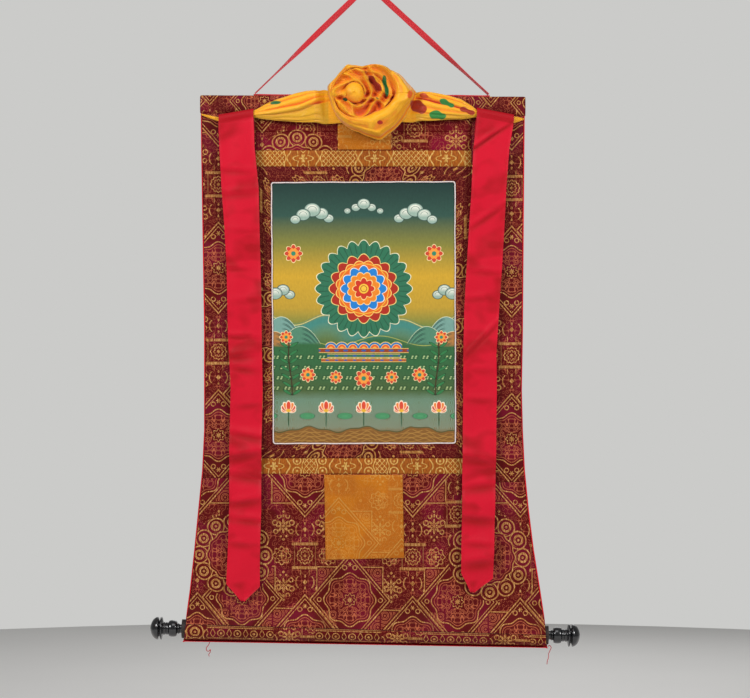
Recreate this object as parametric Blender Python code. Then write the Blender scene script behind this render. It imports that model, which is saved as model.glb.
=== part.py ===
"""Thangka scroll painting: a painted canvas in a brocade mount, hung from a flat cord.

Metres, +Z up. The top of the hanging cord, where it goes over the nail or hook, is the origin.
The cloth hangs below it in the XZ plane and faces -Y; the wall is on its +Y side. Tables are in
millimetres: "across" is X, "down" is the distance below the origin, and depths towards the viewer
are positive "stand" values or negative Y. Every piece of cloth is one closed sheet.
"""
import math

import bmesh
import bpy
import numpy as np


def table(columns, rows):
    """A table whose columns are read by name."""
    return {name: np.array([row[i] for row in rows], dtype=float) for i, name in enumerate(columns)}


def each(sizes):
    """The rows of a table, one after another."""
    return zip(*sizes.values())


MM = 0.001
GAP = 0.3               # clearance between neighbouring pieces
HALF_GAP = GAP / 2
BROCADE = 2.0           # thickness of the brocade with its paste and backing
LINING = 1.2
LINING_GAP = 0.5        # from the brocade's back to the lining
LINING_PROUD = 0.2      # its turned edge stands this far before the brocade
LINING_EDGE = 2.2       # width of the lining's turned edge that shows beside the brocade
CANVAS = 1.4
CANVAS_SUNK = 0.3       # the canvas lies this far behind the brocade's face
PATCH = 1.0
PATCH_GAP = 0.4
SATIN = 1.1
PITCH = 31.0            # longest facet across the hanging cloth
ROW_PITCH = 62.0        # longest facet down the hanging cloth
SIDE_FACETS = 4         # facets across a side strip

# Cut outline of the whole hanging, left and right edge at each height
OUTLINE_COLUMNS = ("down", "left", "right")
OUTLINE = table(OUTLINE_COLUMNS, [
    (179.0, -277.4, 258.1),
    (269.0, -276.5, 257.2),
    (368.0, -274.9, 256.4),
    (566.0, -271.6, 254.8),
    (665.0, -271.6, 253.1),
    (731.0, -271.6, 254.8),
    (797.0, -274.9, 258.1),
    (863.0, -281.5, 264.7),
    (929.0, -288.1, 272.9),
    (995.0, -295.5, 283.5),
    (1061.0, -304.6, 293.4),
    (1092.0, -307.5, 295.6),
])

# Seams across the hanging
SLEEVE_TOP = (179.2, 181.7)         # at the left and at the right edge
SLEEVE_SEAM = (208.1, 213.0)
STRIP_FOLD = 238.8
GOLD_TOP = 269.8
FRAME_TOP = 296.5
FRAME_BOTTOM = 777.8
PANEL_SEAM = 803.4
SIDE_SEAM = (810.3, 816.9)
SEAM_STEP = 1.2                     # width over which the panel's top edge steps from one to the other
SEAM_CLEAR = 9.0                    # no other column of facets lies this near to the step
FLARE_ROWS = 3
FLARE_START = 863.0                 # below this the rows turn parallel to the roller

# Seams down the hanging
COLUMN_LEFT = -186.6
COLUMN_RIGHT = 169.8

# Corners of the opening in the dark red frame: top left, top right, bottom right, bottom left
OPENING = ((-160.7, 322.6), (142.9, 321.1), (143.7, 753.2), (-157.1, 753.9))
PIPING_WIDTH = 2.2
PIPING_THICK = 1.2
PIPING_OVER = 0.5       # it covers this much of the frame, and with it the seam
PIPING_CORNER = 5.0

PATCH_TOP = ((-51.1, 214.5), (37.0, 214.5), (37.0, 268.6), (-51.1, 268.6))
PATCH_BOTTOM = ((-73.4, 804.6), (56.1, 804.6), (58.9, 942.3), (-71.1, 945.6))

# How the cloth hangs
WAVE = 2.6
WAVE_PITCH = 245.0
WAVE_MIDDLE = 0.2       # share of the wave left at the middle, where the canvas keeps the cloth flat
WAVE_START = 0.9
WAVE_DRIFT = 1.4
HALF_WIDTH = 280.0
BOW = 2.0

# Stave sleeve
SLEEVE_HALF_DEPTH = 5.0
SLEEVE_MIDDLE = 5.2
SLEEVE_ROUNDING = 4.0   # exponent of its rounded section, 2 for an ellipse
SLEEVE_SIDES = 16
SLEEVE_RINGS = 9
SLEEVE_UNEVEN = 0.25
SLEEVE_RIPPLE = 31.0

# Roller in the hem
AXIS_LEFT = (-331.0, 1059.5)
AXIS_RIGHT = (325.7, 1071.0)
AXIS_DEPTH = 9.0
ROLLER_RADIUS = 15.5
ROLLER_ENDS = (-308.5, 297.0)
ROLLER_SIDES = 28
HEM_INNER = 16.0
HEM_OUTER = HEM_INNER + BROCADE
HEM_EASE = 46.0         # height over which the sheets part to pass the roller
HEM_TURN = 65.0         # degrees that the front sheet turns under the roller
LINING_OUTER = HEM_INNER + LINING
LINING_TURN = 108.0
LIP_TURN = 88.0
LIP_OUTER = 21.5
LIP_FALL = 0.8
LIP_RISE = 4.0          # degrees over which the turned edge thickens
ARC_STEPS = 5
EASE_MARKS = (0.28, 0.52, 0.72, 0.87, 1.0)

# Turned knob: distance out from the roller's end, and radius
KNOB_COLUMNS = ("out", "radius")
KNOB = table(KNOB_COLUMNS, [
    (0.0, 7.4), (3.6, 7.4), (4.6, 8.8), (6.2, 8.8), (7.0, 7.6), (8.0, 11.6), (9.6, 13.2),
    (15.0, 13.8), (20.4, 13.0), (21.4, 11.4), (22.2, 9.6), (24.4, 10.8), (26.6, 9.4),
    (28.0, 10.8), (30.2, 10.2), (31.2, 12.8), (32.4, 18.2), (33.4, 18.8), (35.2, 18.6),
    (36.2, 13.4), (37.6, 13.4), (38.4, 18.2), (40.0, 18.8), (44.0, 17.4), (48.0, 13.6),
    (50.6, 8.4), (51.8, 3.0),
])
KNOB_SIDES = 18

# Satin ribbons. "stand" is how far the face stands in front of the cloth.
RIBBON_COLUMNS = ("left", "left_down", "right", "right_down", "stand")
LOOP_MIDDLE = 7.4
LOOP_HALF_DEPTH = 6.45
LOOP_HALF_HEIGHT = 8.05
LOOP_STEPS = 9
TAIL_LENGTH = 46.0
RIBBONS = {
    "ribbon_left": {
        "top": ((-246.8, 211.9), (-189.4, 202.0)),
        "rows": table(RIBBON_COLUMNS, [
            (-246.8, 235.0, -189.0, 228.0, 14.3),
            (-245.2, 269.0, -187.4, 266.0, 14.6),
            (-241.9, 335.0, -180.8, 331.0, 12.8),
            (-237.5, 392.0, -179.2, 398.0, 13.6),
            (-233.6, 467.0, -177.5, 470.0, 10.4),
            (-232.6, 520.0, -176.4, 512.0, 11.8),
            (-231.6, 575.0, -175.9, 566.0, 9.6),
            (-227.0, 660.0, -174.2, 668.0, 10.8),
            (-228.7, 725.0, -175.9, 735.0, 8.6),
            (-229.2, 756.0, -176.3, 764.0, 13.2),
            (-229.3, 790.0, -176.5, 799.0, 8.0),
            (-229.4, 826.0, -176.6, 834.0, 12.4),
            (-229.6, 858.0, -176.8, 866.0, 7.6),
            (-230.6, 895.0, -177.8, 899.0, 11.8),
            (-232.4, 940.0, -178.8, 943.0, 8.4),
            (-234.6, 985.0, -179.0, 989.5, 7.6),
            (-209.4, 1012.6, -205.0, 1012.9, 7.4),
        ]),
    },
    "ribbon_right": {
        "top": ((178.2, 200.2), (239.2, 211.8)),
        "rows": table(RIBBON_COLUMNS, [
            (177.0, 226.0, 236.8, 236.0, 14.3),
            (172.3, 269.0, 231.7, 266.0, 14.0),
            (169.0, 338.0, 226.7, 330.0, 13.6),
            (165.6, 392.0, 223.4, 402.0, 11.0),
            (160.7, 470.0, 219.6, 462.0, 12.6),
            (157.4, 533.0, 214.6, 538.0, 10.2),
            (155.8, 600.0, 210.4, 606.0, 11.6),
            (155.6, 665.0, 211.4, 658.0, 9.4),
            (155.0, 732.0, 210.4, 726.0, 9.8),
            (154.6, 776.0, 209.8, 782.0, 12.8),
            (154.2, 812.0, 209.0, 806.0, 8.2),
            (154.0, 852.0, 208.4, 858.0, 12.2),
            (153.4, 890.0, 207.6, 884.0, 8.2),
            (152.6, 925.0, 206.8, 929.0, 11.2),
            (152.4, 967.0, 204.6, 976.0, 8.0),
            (168.9, 998.2, 173.3, 998.6, 7.2),
        ]),
    },
}
RIBBON_CROWN = 0.7      # bulge across the ribbon's middle
RIBBON_PLY = 5          # facets across a ribbon

# Drawn-up silk cover: the two arms, as sections from the thin end to behind the rosette
ARM_COLUMNS = ("across", "top", "bottom", "depth")
ARM_BACK = 1.9
ARM_SIDES = 22
ARM_PLEATS = 5
PLEAT_SHARE = 0.16
PLEAT_START = 11.0      # an arm thinner than this is twisted smooth
PLEAT_GROWTH = 8.0
PLEAT_LEAN = 900.0      # the pleats run a little aslant along the arm
ARMS = {
    "cover_arm_left": table(ARM_COLUMNS, [
        (-276.0, 209.6, 212.0, 2.0), (-262.0, 212.2, 217.4, 4.0), (-247.0, 215.6, 222.6, 6.6),
        (-230.0, 213.4, 221.6, 8.6), (-210.0, 208.8, 219.4, 9.6), (-189.0, 204.4, 217.0, 10.0),
        (-184.0, 202.4, 217.8, 11.2), (-170.0, 194.8, 220.6, 13.6), (-151.0, 187.2, 224.6, 17.0),
        (-122.0, 177.4, 227.4, 21.0), (-102.0, 172.6, 228.2, 23.0), (-88.0, 171.6, 228.4, 21.0),
        (-80.0, 173.0, 228.4, 15.0), (-72.0, 174.6, 228.0, 10.0), (-44.0, 178.0, 226.0, 9.6),
        (-10.0, 182.0, 222.0, 9.6),
    ]),
    "cover_arm_right": table(ARM_COLUMNS, [
        (256.4, 217.4, 219.4, 2.0), (247.0, 215.0, 223.4, 5.0), (239.6, 214.0, 225.6, 7.0),
        (222.0, 212.2, 222.0, 8.6), (200.0, 207.6, 218.8, 9.6), (177.6, 203.0, 216.4, 10.0),
        (172.0, 198.6, 217.4, 12.0), (152.0, 186.6, 222.6, 16.0), (131.0, 180.6, 223.6, 19.0),
        (101.0, 174.2, 225.8, 22.0), (90.0, 173.4, 226.0, 21.0), (78.0, 175.0, 225.6, 14.0),
        (70.0, 176.6, 225.2, 10.0), (40.0, 180.0, 224.0, 9.6), (-9.0, 182.0, 222.0, 9.6),
    ]),
}

# Rosette: outer outline and collar rim as radii about its eye, anticlockwise from +X
ROSETTE_COLUMNS = ("angle", "outline", "rim")
ROSETTE_EYE = (-5.9, 180.0)
ROSETTE_BACK = 12.4
ROSETTE_ROUNDING = 3.0
ROSETTE_SIDES = 44
ROSETTE = table(ROSETTE_COLUMNS, [
    (0, 81.0, 50.8), (20, 66.2, 52.6), (40, 61.0, 51.6), (60, 52.6, 46.1), (80, 50.0, 43.8),
    (100, 47.9, 41.6), (120, 54.0, 47.9), (140, 55.2, 49.3), (160, 63.8, 52.1), (180, 61.0, 51.6),
    (200, 59.6, 50.8), (220, 62.1, 49.5), (240, 59.3, 44.6), (260, 60.2, 39.0), (280, 68.8, 36.2),
    (300, 68.5, 34.2), (320, 65.6, 38.8), (340, 70.2, 44.5),
])
# Rings of the collar: share of the way from outline to rim, and height above the back
COLLAR_COLUMNS = ("inward", "height")
COLLAR = table(COLLAR_COLUMNS, [
    (0.0, 4.0), (0.06, 14.0), (0.24, 25.0), (0.5, 32.0), (0.78, 34.0), (0.95, 30.0), (1.0, 22.0),
])
# Rings of the gathered heart: share of the rim's radius, and height above the back
HEART_COLUMNS = ("share", "height")
HEART = table(HEART_COLUMNS, [(0.94, 19.0), (0.8, 25.0), (0.62, 29.0), (0.44, 30.0), (0.24, 28.0)])
COLLAR_WIDE = 22.0      # a band as wide as this has its full height
COLLAR_FOLDS = 5
COLLAR_FOLD = 1.4
RUFFLES = 7
RUFFLE_DRIFT = 140.0    # degrees that the ruffles turn from the eye to the rim
RUFFLE_HEIGHT = 5.0
BUD = (-23.4, 178.5)
BUD_RADIUS = 15.0
BUD_HEIGHT = 13.0

# Hanging cord, a flat tape: width, thickness and the bend over what it hangs on
TAPE_WIDTH = 10.0
TAPE_THICK = 1.6
TAPE_SECTION = ((-0.5, -0.2), (-0.35, -0.5), (0.35, -0.5), (0.5, -0.2),
                (0.5, 0.2), (0.35, 0.5), (-0.35, 0.5), (-0.5, 0.2))
NAIL_BEND = 10.0
CORD_ENDS = ((-187.6, 175.3), (198.0, 177.1))
STRAND_STEPS = 17
BEND_STEPS = 6
# Turn of the tape about its length: 0 shows its edge to the front, 90 its face
TWIST_COLUMNS = ("share", "turn")
TWIST = table(TWIST_COLUMNS, [(0.0, 0), (0.10, 14), (0.22, 62), (0.30, 88), (0.42, 84), (0.475, 40), (0.5, 0),
                  (0.525, -40), (0.58, -84), (0.70, -88), (0.78, -62), (0.90, -14), (1.0, 0)])
EDGE_CORD_RADIUS = 1.5
EDGE_CORD = (-189.9, 200.3)
EDGE_CORD_STEPS = 5
CORD_RESOLUTION = 2

# Loose thread ends at the hem: across, down and depth of their route
THREAD_RADIUS = 0.6
THREAD_COLUMNS = ("across", "down", "depth")
THREADS = {
    "thread_left": table(THREAD_COLUMNS, [
        (-262.6, 1082.2, 6.4), (-264.8, 1087.0, 5.4), (-267.6, 1090.6, 5.0), (-267.8, 1095.2, 5.2),
        (-264.6, 1097.0, 5.8), (-261.6, 1094.2, 6.6), (-262.0, 1098.8, 7.4), (-264.2, 1102.6, 7.0),
        (-263.4, 1105.6, 6.6),
    ]),
    "thread_right": table(THREAD_COLUMNS, [
        (296.5, 1088.4, 5.0), (299.4, 1087.4, 4.6), (301.4, 1090.0, 4.4), (299.8, 1095.4, 4.8),
        (297.4, 1101.2, 5.2), (297.2, 1107.4, 5.4), (295.4, 1112.6, 5.2), (294.6, 1118.4, 5.0),
    ]),
}
THREAD_STEPS = 22

# Colour, roughness and metallic value of each finish
FINISHES = {
    "maroon": ((0.115, 0.006, 0.012), 0.62, 0.0),
    "crimson": ((0.16, 0.006, 0.014), 0.60, 0.0),
    "gold": ((0.42, 0.15, 0.025), 0.50, 0.0),
    "canvas": ((0.20, 0.17, 0.06), 0.75, 0.0),
    "white": ((0.80, 0.74, 0.74), 0.65, 0.0),
    "lining": ((0.42, 0.01, 0.015), 0.70, 0.0),
    "satin": ((0.74, 0.012, 0.045), 0.38, 0.0),
    "silk": ((0.85, 0.48, 0.03), 0.42, 0.0),
    "cord": ((0.62, 0.01, 0.02), 0.55, 0.0),
    "lacquer": ((0.012, 0.012, 0.014), 0.22, 0.0),
    "wood": ((0.30, 0.16, 0.07), 0.60, 0.0),
}


def clear_scene():
    """Removes whatever the scene holds."""
    for obj in list(bpy.data.objects):
        bpy.data.objects.remove(obj, do_unlink=True)


def finish(node, kind):
    """A material of the node's own, from the table of finishes."""
    colour, roughness, metallic = FINISHES[kind]
    material = bpy.data.materials.new(f"{node}_{kind}")
    material.use_nodes = True
    shader = material.node_tree.nodes["Principled BSDF"]
    shader.inputs["Base Color"].default_value = (*colour, 1.0)
    shader.inputs["Roughness"].default_value = roughness
    shader.inputs["Metallic"].default_value = metallic
    material.diffuse_color = (*colour, 1.0)
    return material


def add_object(node, vertices, faces, kind, sharp=40.0):
    """Makes a closed mesh from points in millimetres (X, Y, down) and turns its faces outwards."""
    points = np.asarray(vertices, dtype=float) * MM
    points[:, 2] *= -1.0
    mesh = bpy.data.meshes.new(node)
    mesh.from_pydata(points.tolist(), [], faces)
    shell = bmesh.new()
    shell.from_mesh(mesh)
    bmesh.ops.recalc_face_normals(shell, faces=shell.faces)
    shell.to_mesh(mesh)
    shell.free()
    mesh.shade_smooth()
    mesh.set_sharp_from_angle(angle=math.radians(sharp))
    mesh.materials.append(finish(node, kind))
    obj = bpy.data.objects.new(node, mesh)
    bpy.context.scene.collection.objects.link(obj)
    return obj


def slab(node, front, back, kind):
    """A closed sheet between two grids of points of the same rows and columns."""
    rows, columns = front.shape[:2]
    vertices = np.concatenate([front.reshape(-1, 3), back.reshape(-1, 3)])
    offset = rows * columns

    def at(row, column, layer=0):
        return layer * offset + row * columns + column

    faces = []
    for row in range(rows - 1):
        for column in range(columns - 1):
            ring = [(row, column), (row, column + 1), (row + 1, column + 1), (row + 1, column)]
            faces.append([at(r, c) for r, c in ring])
            faces.append([at(r, c, 1) for r, c in reversed(ring)])
    rim = [(0, c) for c in range(columns)] + [(r, columns - 1) for r in range(1, rows)]
    rim += [(rows - 1, c) for c in range(columns - 2, -1, -1)] + [(r, 0) for r in range(rows - 2, 0, -1)]
    for first, second in zip(rim, rim[1:] + rim[:1]):
        faces.append([at(*second), at(*first), at(*first, 1), at(*second, 1)])
    return add_object(node, vertices, faces, kind)


def tube(node, rings, kind, sharp=40.0):
    """A closed form through rings of points, each end closed by one flat face."""
    count, sides = rings.shape[:2]
    faces = []
    for ring in range(count - 1):
        for side in range(sides):
            after = (side + 1) % sides
            faces.append([ring * sides + side, ring * sides + after,
                          (ring + 1) * sides + after, (ring + 1) * sides + side])
    faces.append(list(range(sides)))
    faces.append(list(range((count - 1) * sides, count * sides)))
    return add_object(node, rings.reshape(-1, 3), faces, kind, sharp)


def share(value, ends):
    """Linear mix between the two ends."""
    return ends[0] + (ends[1] - ends[0]) * value


def across_line(across, ends, left=OUTLINE["left"][0], right=OUTLINE["right"][0]):
    """Height of a slanted seam that has the two given heights at the cloth's edges."""
    return share((across - left) / (right - left), ends)


def edge_left(down):
    return np.interp(down, OUTLINE["down"], OUTLINE["left"])


def edge_right(down):
    return np.interp(down, OUTLINE["down"], OUTLINE["right"])


def axis_down(across):
    """Height of the roller's axis, which hangs a little lower at the right."""
    return share((across - AXIS_LEFT[0]) / (AXIS_RIGHT[0] - AXIS_LEFT[0]), (AXIS_LEFT[1], AXIS_RIGHT[1]))


def smooth_step(value):
    value = np.clip(value, 0.0, 1.0)
    return value * value * (3.0 - 2.0 * value)


def face_depth(across, down):
    """Y of the cloth's face: upright waves that grow towards the hem and the sides, and a slack bow."""
    fall = np.clip((down - SLEEVE_SEAM[0]) / (AXIS_LEFT[1] - SLEEVE_SEAM[0]), 0.0, 1.0)
    side = (across / HALF_WIDTH) ** 2
    phase = 2 * math.pi * across / WAVE_PITCH + WAVE_START + WAVE_DRIFT * fall
    wave = WAVE * fall * (WAVE_MIDDLE + side) * np.sin(phase)
    return wave - BOW * np.sin(math.pi * fall) ** 2


def steps_between(start, stop, pitch, stops=()):
    """Rising values from start to stop that take in the given stops and leave no step over the pitch."""
    marks = [start] + [s for s in sorted(stops) if start + 1.0 < s < stop - 1.0] + [stop]
    values = []
    for low, high in zip(marks, marks[1:]):
        count = max(1, math.ceil((high - low) / pitch))
        values += [low + (high - low) * k / count for k in range(count)]
    return np.array(values + [stop])


def inset(corners, amount=HALF_GAP):
    """The four corners of a convex patch, each side moved inwards by the amount."""
    points = [np.array(c, dtype=float) for c in corners]
    middle = sum(points) / 4
    lines = []
    for start, end in zip(points, points[1:] + points[:1]):
        along = (end - start) / np.linalg.norm(end - start)
        normal = np.array([-along[1], along[0]])
        if normal @ (middle - start) < 0:
            normal = -normal
        lines.append((normal, normal @ start + amount))
    moved = []
    for before, after in zip(lines[-1:] + lines[:-1], lines):
        moved.append(np.linalg.solve(np.array([before[0], after[0]]), np.array([before[1], after[1]])))
    return moved


def patch_grid(corners):
    """Rows and columns of points over a four-cornered patch of cloth."""
    top_left, top_right, bottom_right, bottom_left = [np.array(c, dtype=float) for c in corners]
    wide = max(np.linalg.norm(top_right - top_left), np.linalg.norm(bottom_right - bottom_left))
    high = max(np.linalg.norm(bottom_left - top_left), np.linalg.norm(bottom_right - top_right))
    u = np.linspace(0, 1, max(1, math.ceil(wide / PITCH)) + 1)[None, :, None]
    v = np.linspace(0, 1, max(1, math.ceil(high / ROW_PITCH)) + 1)[:, None, None]
    return (top_left * (1 - u) + top_right * u) * (1 - v) + (bottom_left * (1 - u) + bottom_right * u) * v


def flat_sheet(node, corners, thickness, kind, raised=0.0):
    """A four-cornered sheet that follows the hanging cloth, its face raised from it by the given amount."""
    grid = patch_grid(corners)
    across, down = grid[..., 0], grid[..., 1]
    y = face_depth(across, down) - raised
    front = np.stack([across, y, down], axis=-1)
    return slab(node, front, front + np.array([0.0, thickness, 0.0]), kind)


def top_sleeve():
    """The brocade wound round the hidden stave: a flat rounded bar that follows the sloping top."""
    angles = np.linspace(0, 2 * math.pi, SLEEVE_SIDES, endpoint=False)
    power = 2.0 / SLEEVE_ROUNDING
    flat = np.sign(np.cos(angles)) * np.abs(np.cos(angles)) ** power
    high = np.sign(np.sin(angles)) * np.abs(np.sin(angles)) ** power
    across = np.linspace(OUTLINE["left"][0], OUTLINE["right"][0], SLEEVE_RINGS)
    top = across_line(across, SLEEVE_TOP)
    bottom = across_line(across, SLEEVE_SEAM) - GAP
    uneven = SLEEVE_UNEVEN * np.sin(across / SLEEVE_RIPPLE)
    rings = np.empty((len(across), len(angles), 3))
    rings[..., 0] = across[:, None]
    rings[..., 1] = SLEEVE_MIDDLE + flat[None, :] * (SLEEVE_HALF_DEPTH + uneven[:, None])
    rings[..., 2] = ((top + bottom) / 2)[:, None] + high[None, :] * ((bottom - top) / 2)[:, None]
    tube("top_sleeve", rings, "maroon", sharp=60.0)


def centre_column():
    """Strips, frame and canvas of the centre column."""
    left, right = COLUMN_LEFT, COLUMN_RIGHT
    seam = (across_line(left, SLEEVE_SEAM), across_line(right, SLEEVE_SEAM))

    def strip(node, top, bottom, kind):
        corners = ((left, top[0]), (right, top[1]), (right, bottom[1]), (left, bottom[0]))
        flat_sheet(node, inset(corners), BROCADE, kind)

    strip("top_strip_upper", seam, (STRIP_FOLD,) * 2, "crimson")
    strip("top_strip_lower", (STRIP_FOLD,) * 2, (GOLD_TOP,) * 2, "crimson")
    strip("gold_strip_top", (GOLD_TOP,) * 2, (FRAME_TOP,) * 2, "gold")
    strip("gold_strip_bottom", (FRAME_BOTTOM,) * 2, (PANEL_SEAM,) * 2, "gold")
    outer = ((left, FRAME_TOP), (right, FRAME_TOP), (right, FRAME_BOTTOM), (left, FRAME_BOTTOM))
    for index, side in enumerate(("top", "right", "bottom", "left")):
        after = (index + 1) % 4
        corners = (outer[index], outer[after], OPENING[after], OPENING[index])
        flat_sheet(f"frame_{side}", inset(corners), BROCADE, "crimson")
    flat_sheet("painting", inset(OPENING), CANVAS, "canvas", raised=-CANVAS_SUNK)


def piping():
    """White edging on the seam round the canvas, a closed ring with rounded corners."""
    corners = [np.array(c) for c in inset(OPENING, PIPING_WIDTH / 2 - PIPING_OVER)]
    path = []
    for index, corner in enumerate(corners):
        before, after = corners[index - 1], corners[(index + 1) % 4]
        start = corner + (before - corner) / np.linalg.norm(before - corner) * PIPING_CORNER
        end = corner + (after - corner) / np.linalg.norm(after - corner) * PIPING_CORNER
        for t in (0.0, 0.33, 0.67, 1.0):
            path.append(start * (1 - t) ** 2 + corner * 2 * t * (1 - t) + end * t ** 2)
        run = after + (corner - after) / np.linalg.norm(after - corner) * PIPING_CORNER - end
        count = math.ceil(np.linalg.norm(run) / ROW_PITCH)
        path += [end + run * k / count for k in range(1, count)]
    path = np.array(path)
    along = np.roll(path, -1, axis=0) - np.roll(path, 1, axis=0)
    along /= np.linalg.norm(along, axis=1)[:, None]
    sideways = np.stack([-along[:, 1], along[:, 0]], axis=1)
    half = PIPING_WIDTH / 2
    back, front = -PATCH_GAP, -PATCH_GAP - PIPING_THICK
    shoulder = back - 0.3 * PIPING_THICK
    section = ((-half, back), (-half, shoulder), (-half * 0.5, front), (half * 0.5, front),
               (half, shoulder), (half, back))
    rings = np.empty((len(path), len(section), 3))
    for index, (side, depth) in enumerate(section):
        place = path + sideways * side
        rings[:, index, 0] = place[:, 0]
        rings[:, index, 1] = face_depth(path[:, 0], path[:, 1]) + depth
        rings[:, index, 2] = place[:, 1]
    sides = len(section)
    faces = []
    for ring in range(len(path)):
        following = (ring + 1) % len(path)
        for side in range(sides):
            after = (side + 1) % sides
            faces.append([ring * sides + side, ring * sides + after,
                          following * sides + after, following * sides + side])
    add_object("piping", rings.reshape(-1, 3), faces, "white")


def side_strip(node, outer, inner, seam_bottom, outer_on_left):
    """A long side strip: its outer edge follows the cut outline, its inner edge the column's seam."""
    downs = steps_between(SLEEVE_SEAM[1], seam_bottom - HALF_GAP, ROW_PITCH, OUTLINE["down"])
    outer_x = outer(downs) + (LINING_EDGE if outer_on_left else -LINING_EDGE)
    inner_x = np.full_like(outer_x, inner - HALF_GAP if outer_on_left else inner + HALF_GAP)
    ends = (outer_x, inner_x) if outer_on_left else (inner_x, outer_x)
    u = np.linspace(0, 1, SIDE_FACETS + 1)[None, :]
    across = ends[0][:, None] * (1 - u) + ends[1][:, None] * u
    down = np.repeat(downs[:, None], u.size, axis=1)
    down[0] = across_line(across[0], SLEEVE_SEAM) + HALF_GAP
    y = face_depth(across, down)
    front = np.stack([across, y, down], axis=-1)
    slab(node, front, front + np.array([0.0, BROCADE, 0.0]), "maroon")


def hem_grid(edge_inset, columns, top_row, sheet_inner, sheet_outer, turn, heading, base, lip=None):
    """Grids of the two faces of a sheet that hangs to the roller and wraps it.

    top_row gives the rows above the flare; base gives the Y of the face nearer the roller in the flat part.
    """
    def edges(left_down, right_down):
        return (edge_left(left_down) + edge_inset, edge_right(right_down) - edge_inset)

    axis_ends = (axis_down(OUTLINE["left"][-1]), axis_down(OUTLINE["right"][-1]))
    tops = tuple(end - HEM_EASE for end in axis_ends)
    rows = [(down, down) for down in top_row]
    for t in np.linspace(0, 1, FLARE_ROWS + 1)[1:]:
        rows.append((FLARE_START + (tops[0] - FLARE_START) * t, FLARE_START + (tops[1] - FLARE_START) * t))
    near, far = [], []
    for left_down, right_down in rows:
        ends = edges(left_down, right_down)
        across = share(columns, ends)
        down = share(columns, (left_down, right_down))
        y = face_depth(across, down) + base
        near.append(np.stack([across, y, down], axis=-1))
        far.append(np.stack([across, y + heading * (sheet_outer - sheet_inner), down], axis=-1))
    meet = AXIS_DEPTH + heading * sheet_inner
    for t in EASE_MARKS:
        rows_down = tuple(top + HEM_EASE * t for top in tops)
        across = share(columns, edges(*rows_down))
        down = share(columns, rows_down)
        mix = smooth_step(t)
        y = (face_depth(across, down) + base) * (1 - mix) + meet * mix
        near.append(np.stack([across, y, down], axis=-1))
        far.append(np.stack([across, y + heading * (sheet_outer - sheet_inner), down], axis=-1))
    marks = np.linspace(0, turn, ARC_STEPS + 1)[1:]
    if lip:
        marks = np.concatenate([np.linspace(0, lip[0], ARC_STEPS + 1)[1:], [lip[0] + LIP_RISE, turn]])
    for angle in marks:
        sine, cosine = math.sin(math.radians(angle)), math.cos(math.radians(angle))
        outer = lip[1] if lip and angle > lip[0] else sheet_outer
        if lip and angle == turn:
            outer = lip[1] - LIP_FALL
        for grid, radius in ((near, sheet_inner), (far, outer)):
            place = tuple(end + radius * sine for end in axis_ends)
            across = share(columns, edges(*place))
            y = np.full_like(across, AXIS_DEPTH + heading * radius * cosine)
            grid.append(np.stack([across, y, axis_down(across) + radius * sine], axis=-1))
    return np.array(near), np.array(far)


def bottom_panel():
    """Full-width flared panel under the column and the side strips; its hem goes round the roller."""
    width = OUTLINE["right"][-1] - OUTLINE["left"][-1]
    column_share = [(COLUMN_LEFT - edge_left(PANEL_SEAM)) / (edge_right(PANEL_SEAM) - edge_left(PANEL_SEAM)),
                    (COLUMN_RIGHT - edge_left(PANEL_SEAM)) / (edge_right(PANEL_SEAM) - edge_left(PANEL_SEAM))]
    step = SEAM_STEP / width
    marks = [column_share[0], column_share[0] + step, column_share[1] - step, column_share[1]]
    columns = steps_between(0.0, 1.0, PITCH / width, ())
    columns = [c for c in columns if min(abs(c - mark) for mark in marks) > SEAM_CLEAR / width]
    columns = np.array(sorted(columns + marks))
    near, far = hem_grid(LINING_EDGE, columns, steps_between(PANEL_SEAM, FLARE_START, ROW_PITCH),
                         HEM_INNER, HEM_OUTER, HEM_TURN, -1, BROCADE)
    seam = np.where(columns < marks[1], SIDE_SEAM[0], np.where(columns > marks[2], SIDE_SEAM[1], PANEL_SEAM))
    for grid in (near, far):
        grid[0, :, 2] = seam + HALF_GAP
    slab("bottom_panel", far, near, "maroon")


def lining():
    """Red backing behind all the panels: its turned edge shows at both sides and under the hem."""
    width = OUTLINE["right"][-1] - OUTLINE["left"][-1]
    columns = np.linspace(0, 1, math.ceil(width / PITCH) + 1)
    lip_inner = (LINING_EDGE - GAP) / width
    columns = np.concatenate([[0.0, lip_inner * 0.5, lip_inner], columns[1:-1],
                              [1 - lip_inner, 1 - lip_inner * 0.5, 1.0]])
    top = steps_between(SLEEVE_SEAM[1], FLARE_START, ROW_PITCH, OUTLINE["down"])
    near, far = hem_grid(0.0, columns, top, HEM_INNER, LINING_OUTER, LINING_TURN, 1,
                         BROCADE + LINING_GAP, lip=(LIP_TURN, LIP_OUTER))
    for grid in (near, far):
        grid[0, :, 2] = across_line(grid[0, :, 0], SLEEVE_SEAM) + HALF_GAP
    flat_rows = len(top) + FLARE_ROWS
    for column in (0, 1, -1, -2):
        near[:flat_rows, column, 1] -= BROCADE + LINING_GAP + LINING_PROUD
    slab("lining", near, far, "lining")


def along_axis(across, radius, sides):
    """A ring of points round the roller's axis at the given place along it."""
    slope = math.atan2(AXIS_RIGHT[1] - AXIS_LEFT[1], AXIS_RIGHT[0] - AXIS_LEFT[0])
    angles = np.linspace(0, 2 * math.pi, sides, endpoint=False)
    ring = np.empty((sides, 3))
    ring[:, 0] = across - radius * np.sin(angles) * math.sin(slope)
    ring[:, 1] = AXIS_DEPTH + radius * np.cos(angles)
    ring[:, 2] = axis_down(across) + radius * np.sin(angles) * math.cos(slope)
    return ring


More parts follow.
